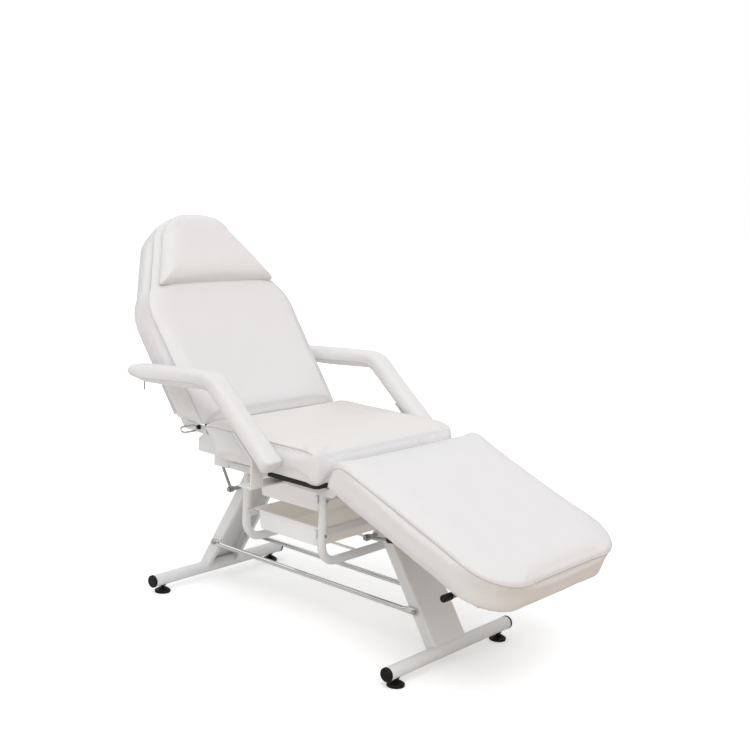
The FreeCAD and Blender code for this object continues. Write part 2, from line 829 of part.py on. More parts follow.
# Stretcher rods: round bar with flattened ends that taper into the round
def stretcher_rod():
    y_face = -LEG_W / 2 - WASHER_T / 2
    y = y_face - ROD_OD / 2
    xa = leg_rod_end(1)[0]
    xb = leg_rod_end(-1)[0]
    body = x_rod(y, ROD_Z, xa + ROD_TAPER, xb - ROD_TAPER, ROD_OD / 2)
    for x, way in ((xa, 1), (xb, -1)):
        tip = x - way * ROD_FLAT_W / 2
        inner = x + way * ROD_FLAT_LEN
        flat = box(min(x, inner), max(x, inner), y_face - ROD_FLAT_T, y_face,
                   ROD_Z - ROD_FLAT_W / 2, ROD_Z + ROD_FLAT_W / 2)
        flat = flat.fuse(y_rod(x, ROD_Z, y_face - ROD_FLAT_T, y_face, abs(x - tip)))
        body = body.fuse(flat)
        body = body.cut(y_rod(x, ROD_Z, -LEG_W, 0, BOLT_D / 2 + FIT_PLAY))
    return body.removeSplitter()


def stretcher_bolts():
    bolts = []
    y_head = -LEG_W / 2 - WASHER_T / 2 - ROD_FLAT_T
    for way in (1, -1):
        x, z = leg_rod_end(way)
        y_tip = -LEG_W / 2 + LEG_SHEET + BOLT_HEAD_H
        bolts.append(hex_bolt(x, z, y_head, y_tip, BOLT_D, BOLT_HEAD_AF, BOLT_HEAD_H))
    return group(bolts + [mirrored_y(bolt) for bolt in bolts])


# Seat frame: two rails and three cross tubes
def frame_mid_z():
    return frame_under() + TUBE / 2


def seat_rail():
    z = frame_mid_z()
    start = Vec(RAIL_REAR, RAIL_Y, z)
    return square_tube(TUBE, TUBE_WALL, TUBE_ROUND, start, Vec(RAIL_FRONT, RAIL_Y, z))


def seat_cross(x):
    half = RAIL_Y - TUBE / 2
    z = frame_mid_z()
    return square_tube(TUBE, TUBE_WALL, TUBE_ROUND, Vec(x, -half, z), Vec(x, half, z))


def rear_cross_x():
    return leg_middle_x(1, frame_under())


def front_cross_x():
    return leg_middle_x(-1, frame_under())


# Hoops bent from round tube, open at the top, and the two thin ties between them
def hoop_side(x, radius):
    low = HOOP_BAR_Z + HOOP_BEND
    foot = Vec(x, RAIL_Y, low)
    section = ring_face(foot, Vec(1, 0, 0), Vec(0, 1, 0), radius, TUBE_SIDES)
    upright = section.extrude(Vec(0, 0, frame_under() - low))
    elbow = section.revolve(Vec(x, RAIL_Y - HOOP_BEND, low), Vec(1, 0, 0), -90)
    return [upright, elbow]


def hoop_solid(x, radius):
    half = RAIL_Y - HOOP_BEND
    start = Vec(x, -half, HOOP_BAR_Z)
    section = ring_face(start, Vec(1, 0, 0), Vec(0, 0, 1), radius, TUBE_SIDES)
    sides = hoop_side(x, radius)
    sides += [mirrored_y(shape) for shape in sides]
    return fused([section.extrude(Vec(0, 2 * half, 0))] + sides)


def tray_hoop(x):
    hollow = hoop_solid(x, HOOP_OD / 2 - HOOP_WALL)
    return drilled(hoop_solid(x, HOOP_OD / 2).cut(hollow), runner_screws())


def hoop_ties():
    lift = HOOP_BAR_Z + HOOP_OD / 4
    tie = x_rod(-TIE_Y, lift, HOOP_REAR_X, HOOP_FRONT_X, TIE_OD / 2)
    for x in (HOOP_REAR_X, HOOP_FRONT_X):
        tie = tie.cut(hoop_solid(x, HOOP_OD / 2))
    return both_sides(tie)


# Trays of moulded plastic: a drafted shell with a turned-out rim
def tray_middle_x():
    return (HOOP_REAR_X + HOOP_FRONT_X) / 2


def tray_wire(half_x, y0, y1, radius, z):
    middle = (y0 + y1) / 2
    points = rounded_rectangle(-half_x, half_x, (y1 - y0) / 2, radius, radius)
    place = lambda p: Vec(tray_middle_x() + p[0], middle + p[1], z)
    return outline_wire(points, place)


def tray(front_y, rim_z):
    half = TRAY_X / 2 - TRAY_RIM
    y0 = front_y + TRAY_RIM / 2
    y1 = front_y + TRAY_Y - TRAY_RIM / 2
    z0 = rim_z - TRAY_H
    draft = TRAY_DRAFT
    wall = TRAY_WALL
    low = tray_wire(half - draft, y0 + draft, y1 - draft, TRAY_ROUND, z0)
    high = tray_wire(half, y0, y1, TRAY_ROUND, rim_z)
    shell = ruled_body([low, high])
    rim_wire = tray_wire(TRAY_X / 2, front_y, front_y + TRAY_Y, TRAY_ROUND, rim_z - wall)
    shell = shell.fuse(Part.Face(rim_wire).extrude(Vec(0, 0, wall)))
    inner = TRAY_ROUND - wall
    low_in = tray_wire(half - draft - wall, y0 + draft + wall, y1 - draft - wall, inner, z0 + wall)
    high_in = tray_wire(half - wall, y0 + wall, y1 - wall, inner, rim_z)
    lid_in = tray_wire(half - wall, y0 + wall, y1 - wall, inner, rim_z + CUT)
    return shell.cut(ruled_body([low_in, high_in, lid_in])).removeSplitter()


# Runners: folded strips between the hoops' uprights, each with a ledge under a tray's rim
def runner(rim_z):
    ledge_top = rim_z - TRAY_WALL - RUNNER_PLAY
    x0 = HOOP_REAR_X + HOOP_OD / 2
    y0 = -RAIL_Y - HOOP_OD / 2
    y1 = RAIL_Y + HOOP_OD / 2
    low = ledge_top - RUNNER_H
    upright = box(x0, x0 + RUNNER_T, y0, y1, low, ledge_top)
    ledge = box(x0, x0 + RUNNER_LEDGE, y0, y1, ledge_top - RUNNER_T, ledge_top)
    body = upright.fuse(ledge)
    screw_z = ledge_top - RUNNER_H / 2
    for y in (-RAIL_Y, RAIL_Y):
        start = Vec(x0 - CUT, y, screw_z)
        end = Vec(x0 + CUT, y, screw_z)
        body = body.cut(sided_rod(start, end, SCREW_D / 2 + FIT_PLAY, HEX_SIDES))
    return body.removeSplitter()


def mirrored_to_front(shape):
    return shape.mirror(Vec(tray_middle_x(), 0, 0), Vec(1, 0, 0))


def runner_pair(rim_z):
    rear = runner(rim_z)
    return group([rear, mirrored_to_front(rear)])


def runner_screws():
    screws = []
    for rim_z in (UPPER_TRAY_RIM_Z, LOWER_TRAY_RIM_Z):
        z = rim_z - TRAY_WALL - RUNNER_PLAY - RUNNER_H / 2
        for y in (-RAIL_Y, RAIL_Y):
            x0 = HOOP_REAR_X - HOOP_OD / 2
            outer = Vec(x0 - SCREW_HEAD_T, y, z)
            seat = Vec(x0 + HOOP_WALL / 2, y, z)
            tip = Vec(x0 + HOOP_OD + RUNNER_T, y, z)
            head = sided_rod(outer, seat, SCREW_HEAD_D / 2, SMALL_SIDES)
            shank = sided_rod(seat, tip, SCREW_D / 2, HEX_SIDES)
            screws.append(head.fuse(shank).removeSplitter())
    return group(screws + [mirrored_to_front(screw) for screw in screws])


# Armrests: the centre line of the pad is a straight arm, one bend and a straight post
def arm_inner_y():
    return SEAT_W / 2 + ARM_GAP


def arm_frame():
    arm = Vec(ARM_BEND_X - ARM_REAR_X, 0, ARM_BEND_Z - ARM_REAR_Z).normalize()
    post = Vec(ARM_FOOT_X - ARM_BEND_X, 0, ARM_FOOT_Z - ARM_BEND_Z).normalize()
    arm_up = math.degrees(math.atan2(arm.x, -arm.z))
    post_up = math.degrees(math.atan2(post.x, -post.z))
    return arm, post, arm_up, post_up


def moved(x, z, way, distance):
    return x + way.x * distance, z + way.z * distance


# The rear tip is a round nose under the top line, with the underside rising to it. These
# are its middle and the turn of the rising line's normal, along and above the arm's line.
def arm_tip():
    along = ARM_TIP_R
    above = ARM_T / 2 - ARM_TIP_R
    run = ARM_TIP_RUN - along
    fall = ARM_T / 2 + above
    spread = math.acos(ARM_TIP_R / math.hypot(run, fall))
    return along, above, 2 * math.pi - math.atan2(fall, run) - spread


def arm_outline(inset):
    arm, post, arm_up, post_up = arm_frame()
    half = ARM_T / 2 - inset
    turn = math.radians(arm_up - post_up)
    reach = ARM_BEND_R * math.tan(turn / 2)
    knee_x, knee_z = moved(ARM_BEND_X, ARM_BEND_Z, arm, -reach)
    up = Vec(-arm.z, 0, arm.x)
    out = Vec(-post.z, 0, post.x)
    centre_x, centre_z = moved(knee_x, knee_z, up, -ARM_BEND_R)
    along, above, normal = arm_tip()
    tip_r = ARM_TIP_R - inset
    low = along + (tip_r + (half + above) * math.sin(normal)) / math.cos(normal)
    low_x, low_z = moved(ARM_REAR_X, ARM_REAR_Z, arm, low)
    tip_x, tip_z = moved(*moved(ARM_REAR_X, ARM_REAR_Z, arm, along), up, above)
    end_x, end_z = moved(ARM_FOOT_X, ARM_FOOT_Z, post, -inset)
    points = [moved(low_x, low_z, up, -half) + ("line",)]
    points += corner(centre_x, centre_z, ARM_BEND_R - half, arm_up, post_up)
    points.append(moved(end_x, end_z, out, -half) + ("line",))
    points.append(moved(end_x, end_z, out, half) + ("line",))
    points += corner(centre_x, centre_z, ARM_BEND_R + half, post_up, arm_up)
    points += corner(tip_x, tip_z, tip_r, arm_up, arm_up - 90 + math.degrees(normal))
    return points


def arm_pad():
    wires = []
    y1 = arm_inner_y() + ARM_W
    insets = []
    for step in range(EDGE_STEPS + 1):
        angle = math.radians(ROLL_END_ANGLE * step / EDGE_STEPS)
        insets.append((ARM_ROUND * (1 - math.sin(angle)), ARM_ROUND * (1 - math.cos(angle))))
    near = [(arm_inner_y() + run, inset) for run, inset in reversed(insets)]
    far = [(y1 - run, inset) for run, inset in insets]
    for y, inset in near + far:
        points = arm_outline(inset)
        wires.append(outline_wire(points, lambda p, side=y: Vec(p[0], side, p[1])))
    return ruled_body(wires)


# Armrest bracket: a flat bar that lies under the post, drops and turns in to the seat rail
def bracket_line():
    arm, post, arm_up, post_up = arm_frame()
    out = Vec(-post.z, 0, post.x)
    base_x, base_z = moved(ARM_FOOT_X, ARM_FOOT_Z, out, -ARM_T / 2 - BRACKET_T)
    knee = moved(base_x, base_z, post, (BRACKET_DROP_X - base_x) / post.x)
    return knee, post, out


def arm_bracket():
    knee, post, out = bracket_line()
    mid_y = arm_inner_y() + ARM_W / 2
    top = moved(*knee, post, -BRACKET_RUN)
    low_z = frame_under() + TUBE / 2 - BRACKET_T
    front_x = knee[0] + BRACKET_T
    face_x, face_z = moved(*knee, out, BRACKET_T)
    inner = moved(face_x, face_z, post, (front_x - face_x) / post.x)
    strip = [top, knee, (knee[0], low_z), (front_x, low_z), inner, moved(*top, out, BRACKET_T)]
    upper = prism(strip, mid_y - BRACKET_W / 2, mid_y + BRACKET_W / 2)
    rail_y = RAIL_Y + TUBE / 2
    foot = box(knee[0] - BRACKET_W, front_x, rail_y, mid_y + BRACKET_W / 2,
               low_z, low_z + BRACKET_T)
    return fused([upper, foot])


ARM_BOLT_SHARES = (0.15, 0.8)


def arm_bolts():
    knee, post, out = bracket_line()
    mid_y = arm_inner_y() + ARM_W / 2
    bolts = []
    for share in ARM_BOLT_SHARES:
        x, z = moved(*knee, post, -BRACKET_RUN * share)
        seat = Vec(x, mid_y, z)
        tip = seat.add(out * (BRACKET_T + ARM_T / 3))
        head = sided_rod(seat.sub(out * BOLT_HEAD_H), seat, hex_corner(BOLT_HEAD_AF), HEX_SIDES)
        bolts.append(head.fuse(sided_rod(seat, tip, BOLT_D / 2, HEX_SIDES)).removeSplitter())
    return both_sides(group(bolts))


def drilled(shape, bolts):
    for bolt in bolts.Solids:
        shape = shape.cut(bolt)
    return shape


# A thin threaded stud that stands out under the rear end of each armrest
def arm_stud():
    arm, post, arm_up, post_up = arm_frame()
    up = Vec(-arm.z, 0, arm.x)
    share = (ARM_STUD_X - ARM_REAR_X) / (ARM_BEND_X - ARM_REAR_X)
    z = ARM_REAR_Z + (ARM_BEND_Z - ARM_REAR_Z) * share
    x, z = moved(ARM_STUD_X, z, up, -ARM_T / 2)
    y = arm_inner_y() + ARM_W / 2
    top = Vec(x, y, z).add(up * (ARM_T / 4))
    return sided_rod(Vec(x, y, z).sub(up * ARM_STUD_LEN), top, ARM_STUD_D / 2, HEX_SIDES)


# Telescopic struts: the rod turns on a bolt in the leg, the tube slides on the rod and its
# eye lies between the two cheeks of a hanger on the turning section
def back_local(s, n, angle):
    tilt = math.radians(angle)
    x = BACK_HINGE_X - s * math.cos(tilt) + n * math.sin(tilt)
    return x, BACK_HINGE_Z + s * math.sin(tilt) + n * math.cos(tilt)


def leg_local(s, n, angle):
    tilt = math.radians(angle)
    x = LEG_HINGE_X + s * math.cos(tilt) + n * math.sin(tilt)
    return x, LEG_HINGE_Z - s * math.sin(tilt) + n * math.cos(tilt)


def strut_line(low, high):
    low = Vec(low[0], STRUT_Y, low[1])
    high = Vec(high[0], STRUT_Y, high[1])
    return low, high, high.sub(low).normalize()


def eye(at, bore):
    half = STRUT_EYE_W / 2
    ring = y_rod(at.x, at.z, STRUT_Y - half, STRUT_Y + half, STRUT_EYE_OD / 2)
    return ring, y_rod(at.x, at.z, STRUT_Y - half - CUT, STRUT_Y + half + CUT, bore / 2)


def strut_rod(low, high, length):
    start, end, way = strut_line(low, high)
    ring, bore = eye(start, BOLT_D + 2 * FIT_PLAY)
    body = rod(start, start.add(way * length), STRUT_ROD_D / 2)
    return ring.fuse(body).cut(bore).removeSplitter()


def strut_tube(low, high, length):
    start, end, way = strut_line(low, high)
    ring, bore = eye(end, BOLT_D)
    mouth = end.sub(way * length)
    roof = end.sub(way * (STRUT_EYE_OD / 2))
    tube = rod(mouth, roof.add(way * STRUT_WALL), STRUT_OD / 2)
    hollow = rod(mouth.sub(way * CUT), roof.sub(way * STRUT_WALL), STRUT_OD / 2 - STRUT_WALL)
    collar = rod(mouth, mouth.add(way * STRUT_OD), STRUT_OD / 2)
    through = rod(mouth.sub(way * CUT), roof.sub(way * STRUT_WALL), STRUT_ROD_D / 2 + STRUT_PLAY)
    body = fused([tube.cut(hollow), collar.cut(through), ring.cut(hollow)])
    return body


def strut_bolt(x, z):
    y_head = STRUT_Y - STRUT_EYE_W / 2 - PLATE_GAP
    y_tip = -LEG_W / 2 + 2 * LEG_SHEET + PLATE_T
    bolt = hex_bolt(x, z, y_head, y_tip, BOLT_D, BOLT_HEAD_AF, BOLT_HEAD_H)
    y_in = STRUT_Y + STRUT_EYE_W / 2 + PLATE_GAP
    inner = Vec(x, -LEG_W / 2 - FIT_PLAY, z)
    sleeve = sided_rod(Vec(x, y_in, z), inner, BOLT_HEAD_AF / 2, SMALL_SIDES)
    return bolt.fuse(sleeve).removeSplitter()


def hanger(points, x, z):
    inner = STRUT_OD / 2 + CHEEK_PLAY
    cheeks = []
    for way in (-1, 1):
        face = STRUT_Y + way * inner
        back = face + way * CHEEK_T
        y0 = min(face, back)
        cheek = prism(points, y0, y0 + CHEEK_T)
        round_end = y_rod(x, z, y0, y0 + CHEEK_T, CHEEK_W / 2)
        bolt = hex_bolt(x, z, back, face, BOLT_D, BOLT_HEAD_AF, BOLT_HEAD_H)
        cheeks.append(fused([cheek, round_end, bolt]))
    return group(cheeks)


def back_hanger_flat():
    x, z = back_local(BACK_STRUT_S, BACK_STRUT_N, 0)
    top = BACK_HINGE_Z + back_rail_n() - SLIM_TUBE / 2
    points = [(x - CHEEK_W / 2, z), (x + CHEEK_W / 2, z)]
    points += [(x + CHEEK_W / 2, top), (x - CHEEK_W / 2, top)]
    return hanger(points, x, z)


def leg_hanger_flat():
    x, z = leg_local(LEG_STRUT_S, LEG_STRUT_N, 0)
    top = LEG_HINGE_Z + leg_rail_n() - SLIM_TUBE / 2
    points = [(x - CHEEK_W / 2, z), (x + CHEEK_W / 2, z)]
    points += [(x + CHEEK_W / 2, top), (x - CHEEK_W / 2, top)]
    return hanger(points, x, z)


# The backrest's release: a closed wire loop on a shaft that turns in a bush on the lug
def loop_z():
    return BACK_HINGE_Z + LOOP_N


def bush_face_y():
    return -lug_y() - PLATE_T


def ferrule_face_y():
    return bush_face_y() - BUSH_LEN - PLATE_GAP


def loop_ends_y():
    y1 = ferrule_face_y() - FERRULE_LEN
    return y1 - LOOP_LEN, y1


def lever_loop_flat():
    x = back_x(LOOP_S)
    z = loop_z()
    half = (LOOP_W - LOOP_WIRE) / 2
    y0, y1 = loop_ends_y()
    pieces = []
    for y, turn in ((y0 + half, -180), (y1 - half, 180)):
        start = Vec(x + half, y, z)
        section = ring_face(start, Vec(1, 0, 0), Vec(0, 0, 1), LOOP_WIRE / 2, SMALL_SIDES)
        pieces.append(section.revolve(Vec(x, y, z), Vec(0, 0, 1), turn))
    for side_x in (x - half, x + half):
        start = Vec(side_x, y0 + half, z)
        section = ring_face(start, Vec(1, 0, 0), Vec(0, 0, 1), LOOP_WIRE / 2, SMALL_SIDES)
        pieces.append(section.extrude(Vec(0, y1 - y0 - 2 * half, 0)))
    return fused(pieces)


def back_lever_flat():
    y0, y1 = loop_ends_y()
    shaft = y_rod(back_x(LOOP_S), loop_z(), y1, -lug_y() - FIT_PLAY, LOOP_WIRE / 2)
    return fused([lever_loop_flat(), shaft])


def lever_ferrule_flat():
    x = back_x(LOOP_S)
    y1 = ferrule_face_y()
    y0 = y1 - FERRULE_LEN + LOOP_WIRE / 2
    sleeve = sided_rod(Vec(x, y0, loop_z()), Vec(x, y1, loop_z()), FERRULE_OD / 2, TUBE_SIDES)
    return sleeve.cut(y_rod(x, loop_z(), y0 - CUT, y1 + CUT, LOOP_WIRE / 2))


def lever_bush_flat():
    x = back_x(LOOP_S)
    y0 = bush_face_y() - BUSH_LEN
    start = Vec(x, y0, loop_z())
    ring = sided_rod(start, Vec(x, bush_face_y(), loop_z()), BUSH_OD / 2, TUBE_SIDES)
    return ring.cut(lever_shaft_hole())


def lever_shaft_hole():
    y0 = bush_face_y() - BUSH_LEN - CUT
    return y_rod(back_x(LOOP_S), loop_z(), y0, -lug_y() + CUT, LOOP_WIRE / 2 + FIT_PLAY)


# The leg rest's release: a flat lever on a bolt under the rail, with a grip on its end
def lever_z():
    return LEG_HINGE_Z + leg_rail_n() - SLIM_TUBE / 2 - LEVER_GAP


def leg_lever_flat():
    x = leg_x(LEVER_S)
    y = -slim_rail_y()
    z0 = lever_z() - LEVER_T
    bar = box(x - LEVER_W / 2, x + LEVER_W / 2, y - LEVER_REACH, y + LEVER_TAIL, z0, lever_z())
    ends = [edge for edge in bar.Edges if edge.BoundBox.ZLength > LEVER_T / 2]
    bar = bar.makeFillet(LEVER_W / 3, ends)
    return bar.cut(z_rod(x, y, z0 - CUT, lever_z() + CUT, BOLT_D / 2 + FIT_PLAY))


def lever_grip_flat():
    x = leg_x(LEVER_S)
    z = lever_z() - LEVER_T / 2
    y1 = -slim_rail_y() - LEVER_REACH + GRIP_LAP
    y0 = y1 - GRIP_LEN
    edge = Vec(x, y0 + CAP_ROUND, z)
    body = sided_rod(Vec(x, y1, z), edge, GRIP_OD / 2, TUBE_SIDES)
    end = sided_cone(edge, Vec(x, y0, z), GRIP_OD / 2, GRIP_OD / 2 - CAP_ROUND, TUBE_SIDES)
    return body.fuse(end).removeSplitter().cut(leg_lever_flat())


def lever_bolt_flat():
    x = leg_x(LEVER_S)
    y = -slim_rail_y()
    low = lever_z() - LEVER_T - PLATE_GAP
    shank = z_rod(x, y, low, lever_z() + LEVER_GAP, BOLT_D / 2)
    head = z_rod(x, y, low - BOLT_HEAD_H, low, BOLT_HEAD_AF / 2)
    return shank.fuse(head).removeSplitter()


# The pieces of each body, by name, at the pose of the photograph
def seat_body():
    arm_hardware = arm_bolts()
    bracket = drilled(arm_bracket(), arm_hardware)
    pad = drilled(arm_pad(), arm_hardware)
    stud = arm_stud()
    pad = pad.cut(stud)
    rail = seat_rail()
    return {
        "seat_cushion": seat_cushion(),
        "seat_board": seat_board(),
        "left_seat_rail": rail,
        "right_seat_rail": mirrored_y(rail),
        "seat_cross_tubes": group([seat_cross(rear_cross_x()), seat_cross(front_cross_x())]),
        "backrest_hinge_plates": both_sides(back_ear()),
        "leg_rest_hinge_plates": both_sides(leg_ear()),
        "hinge_pins": hinge_pins(),
        "left_armrest_pad": pad,
        "right_armrest_pad": mirrored_y(pad),
        "armrest_brackets": both_sides(bracket),
        "armrest_bolts": arm_hardware,
        "armrest_studs": both_sides(stud),
    }


def base_body():
    rod_right = stretcher_rod()
    back_bolt = strut_bolt(BACK_STRUT_X, BACK_STRUT_Z)
    leg_bolt = strut_bolt(LEG_STRUT_X, LEG_STRUT_Z)
    rear_hoop = tray_hoop(HOOP_REAR_X)
    return {
        "rear_foot_tube": foot_tube(REAR_FOOT_X),
        "front_foot_tube": foot_tube(FRONT_FOOT_X),
        "foot_tube_caps": foot_caps(),
        "levelling_inserts": foot_inserts(),
        "rear_leg": rear_leg(),
        "front_leg": front_leg(),
        "right_stretcher_rod": rod_right,
        "left_stretcher_rod": mirrored_y(rod_right),
        "stretcher_bolts": stretcher_bolts(),
        "rear_tray_hoop": rear_hoop,
        "front_tray_hoop": mirrored_to_front(rear_hoop),
        "hoop_ties": hoop_ties(),
        "tray_runners": group([runner_pair(z) for z in (UPPER_TRAY_RIM_Z, LOWER_TRAY_RIM_Z)]),
        "runner_screws": runner_screws(),
        "strut_bolts": group([back_bolt, leg_bolt]),
    }


def tray_bodies():
    return {
        "upper_tray": tray(UPPER_TRAY_FRONT_Y, UPPER_TRAY_RIM_Z),
        "lower_tray": tray(LOWER_TRAY_FRONT_Y, LOWER_TRAY_RIM_Z),
    }


def backrest_body():
    rail = back_rail_flat()
    flat = {
        "backrest_cushion": back_cushion_flat(),
        "backrest_board": back_board_flat(),
        "head_pillow": pillow_flat(),
        "left_backrest_rail": rail,
        "right_backrest_rail": mirrored_y(rail),
        "backrest_cross_tubes": group([back_cross_flat(s) for s in (BACK_CROSS_S, BACK_STRUT_S)]),
        "backrest_hinge_lugs": both_sides(back_lug_flat()).cut(lever_shaft_hole()),
        "backrest_strut_hanger": back_hanger_flat(),
        "backrest_lever": back_lever_flat(),
        "backrest_lever_ferrule": lever_ferrule_flat(),
        "backrest_lever_bush": lever_bush_flat(),
    }
    return {name: turned(shape, BACK_HINGE_X, BACK_HINGE_Z, BACK_REST_ANGLE)
            for name, shape in flat.items()}


def leg_rest_body():
    rail = leg_rail_flat()
    flat = {
        "leg_rest_cushion": leg_cushion_flat(),
        "leg_rest_board": leg_board_flat(),
        "left_leg_rest_rail": rail,
        "right_leg_rest_rail": mirrored_y(rail),
        "leg_rest_cross_tubes": group([leg_cross_flat(s) for s in (LEG_CROSS_S, LEG_STRUT_S)]),
        "leg_rest_hinge_lugs": both_sides(leg_lug_flat()),
        "leg_rest_strut_hanger": leg_hanger_flat(),
        "leg_rest_lever": leg_lever_flat(),
        "leg_rest_lever_grip": lever_grip_flat(),
        "leg_rest_lever_bolt": lever_bolt_flat(),
    }
    return {name: turned(shape, LEG_HINGE_X, LEG_HINGE_Z, LEG_REST_ANGLE)
            for name, shape in flat.items()}


def strut_bodies():
    back_low = (BACK_STRUT_X, BACK_STRUT_Z)
    back_high = back_local(BACK_STRUT_S, BACK_STRUT_N, BACK_REST_ANGLE)
    leg_low = (LEG_STRUT_X, LEG_STRUT_Z)
    leg_high = leg_local(LEG_STRUT_S, LEG_STRUT_N, LEG_REST_ANGLE)
    return {
        "backrest_strut_rod": strut_rod(back_low, back_high, BACK_STRUT_ROD),
        "backrest_strut_tube": strut_tube(back_low, back_high, BACK_STRUT_TUBE),
        "leg_rest_strut_rod": strut_rod(leg_low, leg_high, LEG_STRUT_ROD),
        "leg_rest_strut_tube": strut_tube(leg_low, leg_high, LEG_STRUT_TUBE),
    }


def levelling_feet():
    feet = {}
    for end, x in (("rear", REAR_FOOT_X), ("front", FRONT_FOOT_X)):
        for side, y in (("left", pad_y()), ("right", -pad_y())):
            feet["levelling_foot_" + end + "_" + side] = levelling_foot(x, y)
    return feet


def all_nodes():
    nodes = {}
    for part in (base_body, seat_body, tray_bodies, backrest_body, leg_rest_body,
                 strut_bodies, levelling_feet):
        nodes.update(part())
    return nodes


def middle_shift(nodes):
    whole = FreeCAD.BoundBox()
    for shape in nodes.values():
        whole.add(shape.optimalBoundingBox(False))
    return -(whole.XMin + whole.XMax) / 2


def write_parts():
    os.makedirs("parts", exist_ok=True)
    nodes = all_nodes()
    shift = Vec(middle_shift(nodes), 0, 0)
    for name, shape in nodes.items():
        shape.translated(shift).exportStep("parts/" + name + ".step")


if __name__ == "__main__":
    write_parts()
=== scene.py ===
import bpy
import bmesh
import json
import math
from mathutils import Matrix, Vector, noise
from mathutils.bvhtree import BVHTree


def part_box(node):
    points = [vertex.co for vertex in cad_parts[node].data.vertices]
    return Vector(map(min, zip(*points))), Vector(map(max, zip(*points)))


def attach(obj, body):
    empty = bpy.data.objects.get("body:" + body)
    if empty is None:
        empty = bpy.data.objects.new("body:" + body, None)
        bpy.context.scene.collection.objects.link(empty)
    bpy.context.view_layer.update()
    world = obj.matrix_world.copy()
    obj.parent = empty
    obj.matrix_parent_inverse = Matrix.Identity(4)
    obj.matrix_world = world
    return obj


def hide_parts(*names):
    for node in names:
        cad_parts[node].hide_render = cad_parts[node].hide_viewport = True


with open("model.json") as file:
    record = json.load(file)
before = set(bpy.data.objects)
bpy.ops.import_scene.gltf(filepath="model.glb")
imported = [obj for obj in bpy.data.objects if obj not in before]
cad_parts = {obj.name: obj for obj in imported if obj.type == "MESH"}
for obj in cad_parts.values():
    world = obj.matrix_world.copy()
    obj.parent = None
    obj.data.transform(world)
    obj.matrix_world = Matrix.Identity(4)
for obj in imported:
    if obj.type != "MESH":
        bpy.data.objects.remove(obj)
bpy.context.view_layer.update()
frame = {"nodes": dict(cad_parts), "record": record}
cad = frame["nodes"]


# Foot tubes: two round steel tubes, powder coated white, that lie across the floor. Moulded
# caps close their ends, and levelling feet stand in plastic inserts below them.
class Wire:
    """A shader socket that adds, multiplies and compares like a number."""

    def __init__(self, tree, socket):
        self.tree = tree
        self.socket = socket

    def node(self, kind, out=0, settings=(), **inputs):
        made = self.tree.nodes.new(kind)
        for key, value in settings:
            setattr(made, key, value)
        for key, value in inputs.items():
            slot = made.inputs[int(key[1:]) if key[1:].isdigit() else key.replace("_", " ")]
            if isinstance(value, Wire):
                self.tree.links.new(value.socket, slot)
            else:
                slot.default_value = value
        return Wire(self.tree, made.outputs[out])

    def maths(self, operation, first, second):
        return self.node("ShaderNodeMath", settings=[("operation", operation)], i0=first, i1=second)

    def __add__(self, other):
        return self.maths("ADD", self, other)

    def __sub__(self, other):
        return self.maths("SUBTRACT", self, other)

    def __rsub__(self, other):
        return self.maths("SUBTRACT", other, self)

    def __mul__(self, other):
        return self.maths("MULTIPLY", self, other)

    def __gt__(self, other):
        return self.maths("GREATER_THAN", self, other)

    def __lt__(self, other):
        return self.maths("LESS_THAN", self, other)

    __radd__ = __add__
    __rmul__ = __mul__

    def blend(self, first, second):
        """The colour between two, at this share."""
        kind = [("data_type", "RGBA")]
        return self.node("ShaderNodeMix", out=2, settings=kind, Factor=self, i6=first, i7=second)

    def feed(self, shader, name):
        self.tree.links.new(self.socket, shader.inputs[name])


def source(tree, kind, output):
    """The start of a wire: an output of a node that needs no inputs."""
    return Wire(tree, tree.nodes.new(kind).outputs[output])


def new_material(name):
    """A material, its shader, and the places on the piece that wears it."""
    made = bpy.data.materials.new(name)
    made.use_nodes = True
    tree = made.node_tree
    return made, tree.nodes["Principled BSDF"], source(tree, "ShaderNodeTexCoord", "Object")


def finish(name, base, roughness, metallic, grain, bump):
    """Paint, plating or moulded plastic: a base that wanders a little in its tone, smears in
    its gloss, and the fine relief of its coat."""
    cloud_scale, cloud_detail, cloud_tone = 9.0, 3.0, 0.93
    smear_scale, smear_detail, smear_least, smear_span = 30.0, 4.0, 0.8, 0.4
    relief_detail, relief_height = 2.0, 0.0004
    black_tone, black_gloss = 0.1, 0.2
    made, shader, place = new_material(name)
    cloud = place.node("ShaderNodeTexNoise", Vector=place, Scale=cloud_scale, Detail=cloud_detail)
    darker = tuple(channel * cloud_tone for channel in base[:3]) + (1,)
    cloud.blend(base, darker).feed(shader, "Base Color")
    smear = place.node("ShaderNodeTexNoise", Vector=place, Scale=smear_scale, Detail=smear_detail)
    gloss = smear * (roughness * smear_span) + roughness * smear_least
    gloss.feed(shader, "Roughness")
    coat = place.node("ShaderNodeTexNoise", Vector=place, Scale=grain, Detail=relief_detail)
    relief = place.node("ShaderNodeBump", Strength=bump, Distance=relief_height, Height=coat)
    relief.feed(shader, "Normal")
    shader.inputs["Metallic"].default_value = metallic
    if base[0] < black_tone:
        shader.inputs["Specular IOR Level"].default_value = black_gloss
    return made


paints = {
    "white_frame": finish("white_powder_coat", (0.84, 0.84, 0.845, 1), roughness=0.38, metallic=0.0,
                          grain=700.0, bump=0.10),
    "black_plastic": finish("black_plastic", (0.006, 0.006, 0.006, 1), roughness=0.45, metallic=0.0,
                            grain=900.0, bump=0.25),
}
slots = {row["node"]: row["material_slot"] for row in frame["record"]["subparts"]}
bodies = frame["record"]["behaviour"]["bodies"]
rides = {node: body for body, nodes in bodies.items() for node in nodes}


def dress(thing, material):
    thing.data.materials.clear()
    thing.data.materials.append(material)


def placed(name, mesh, material, node):
    """A finished piece that belongs to a node's body and wears the given material."""
    piece = bpy.data.objects.new(name, mesh)
    bpy.context.scene.collection.objects.link(piece)
    dress(piece, material)
    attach(piece, rides[node])
    return piece


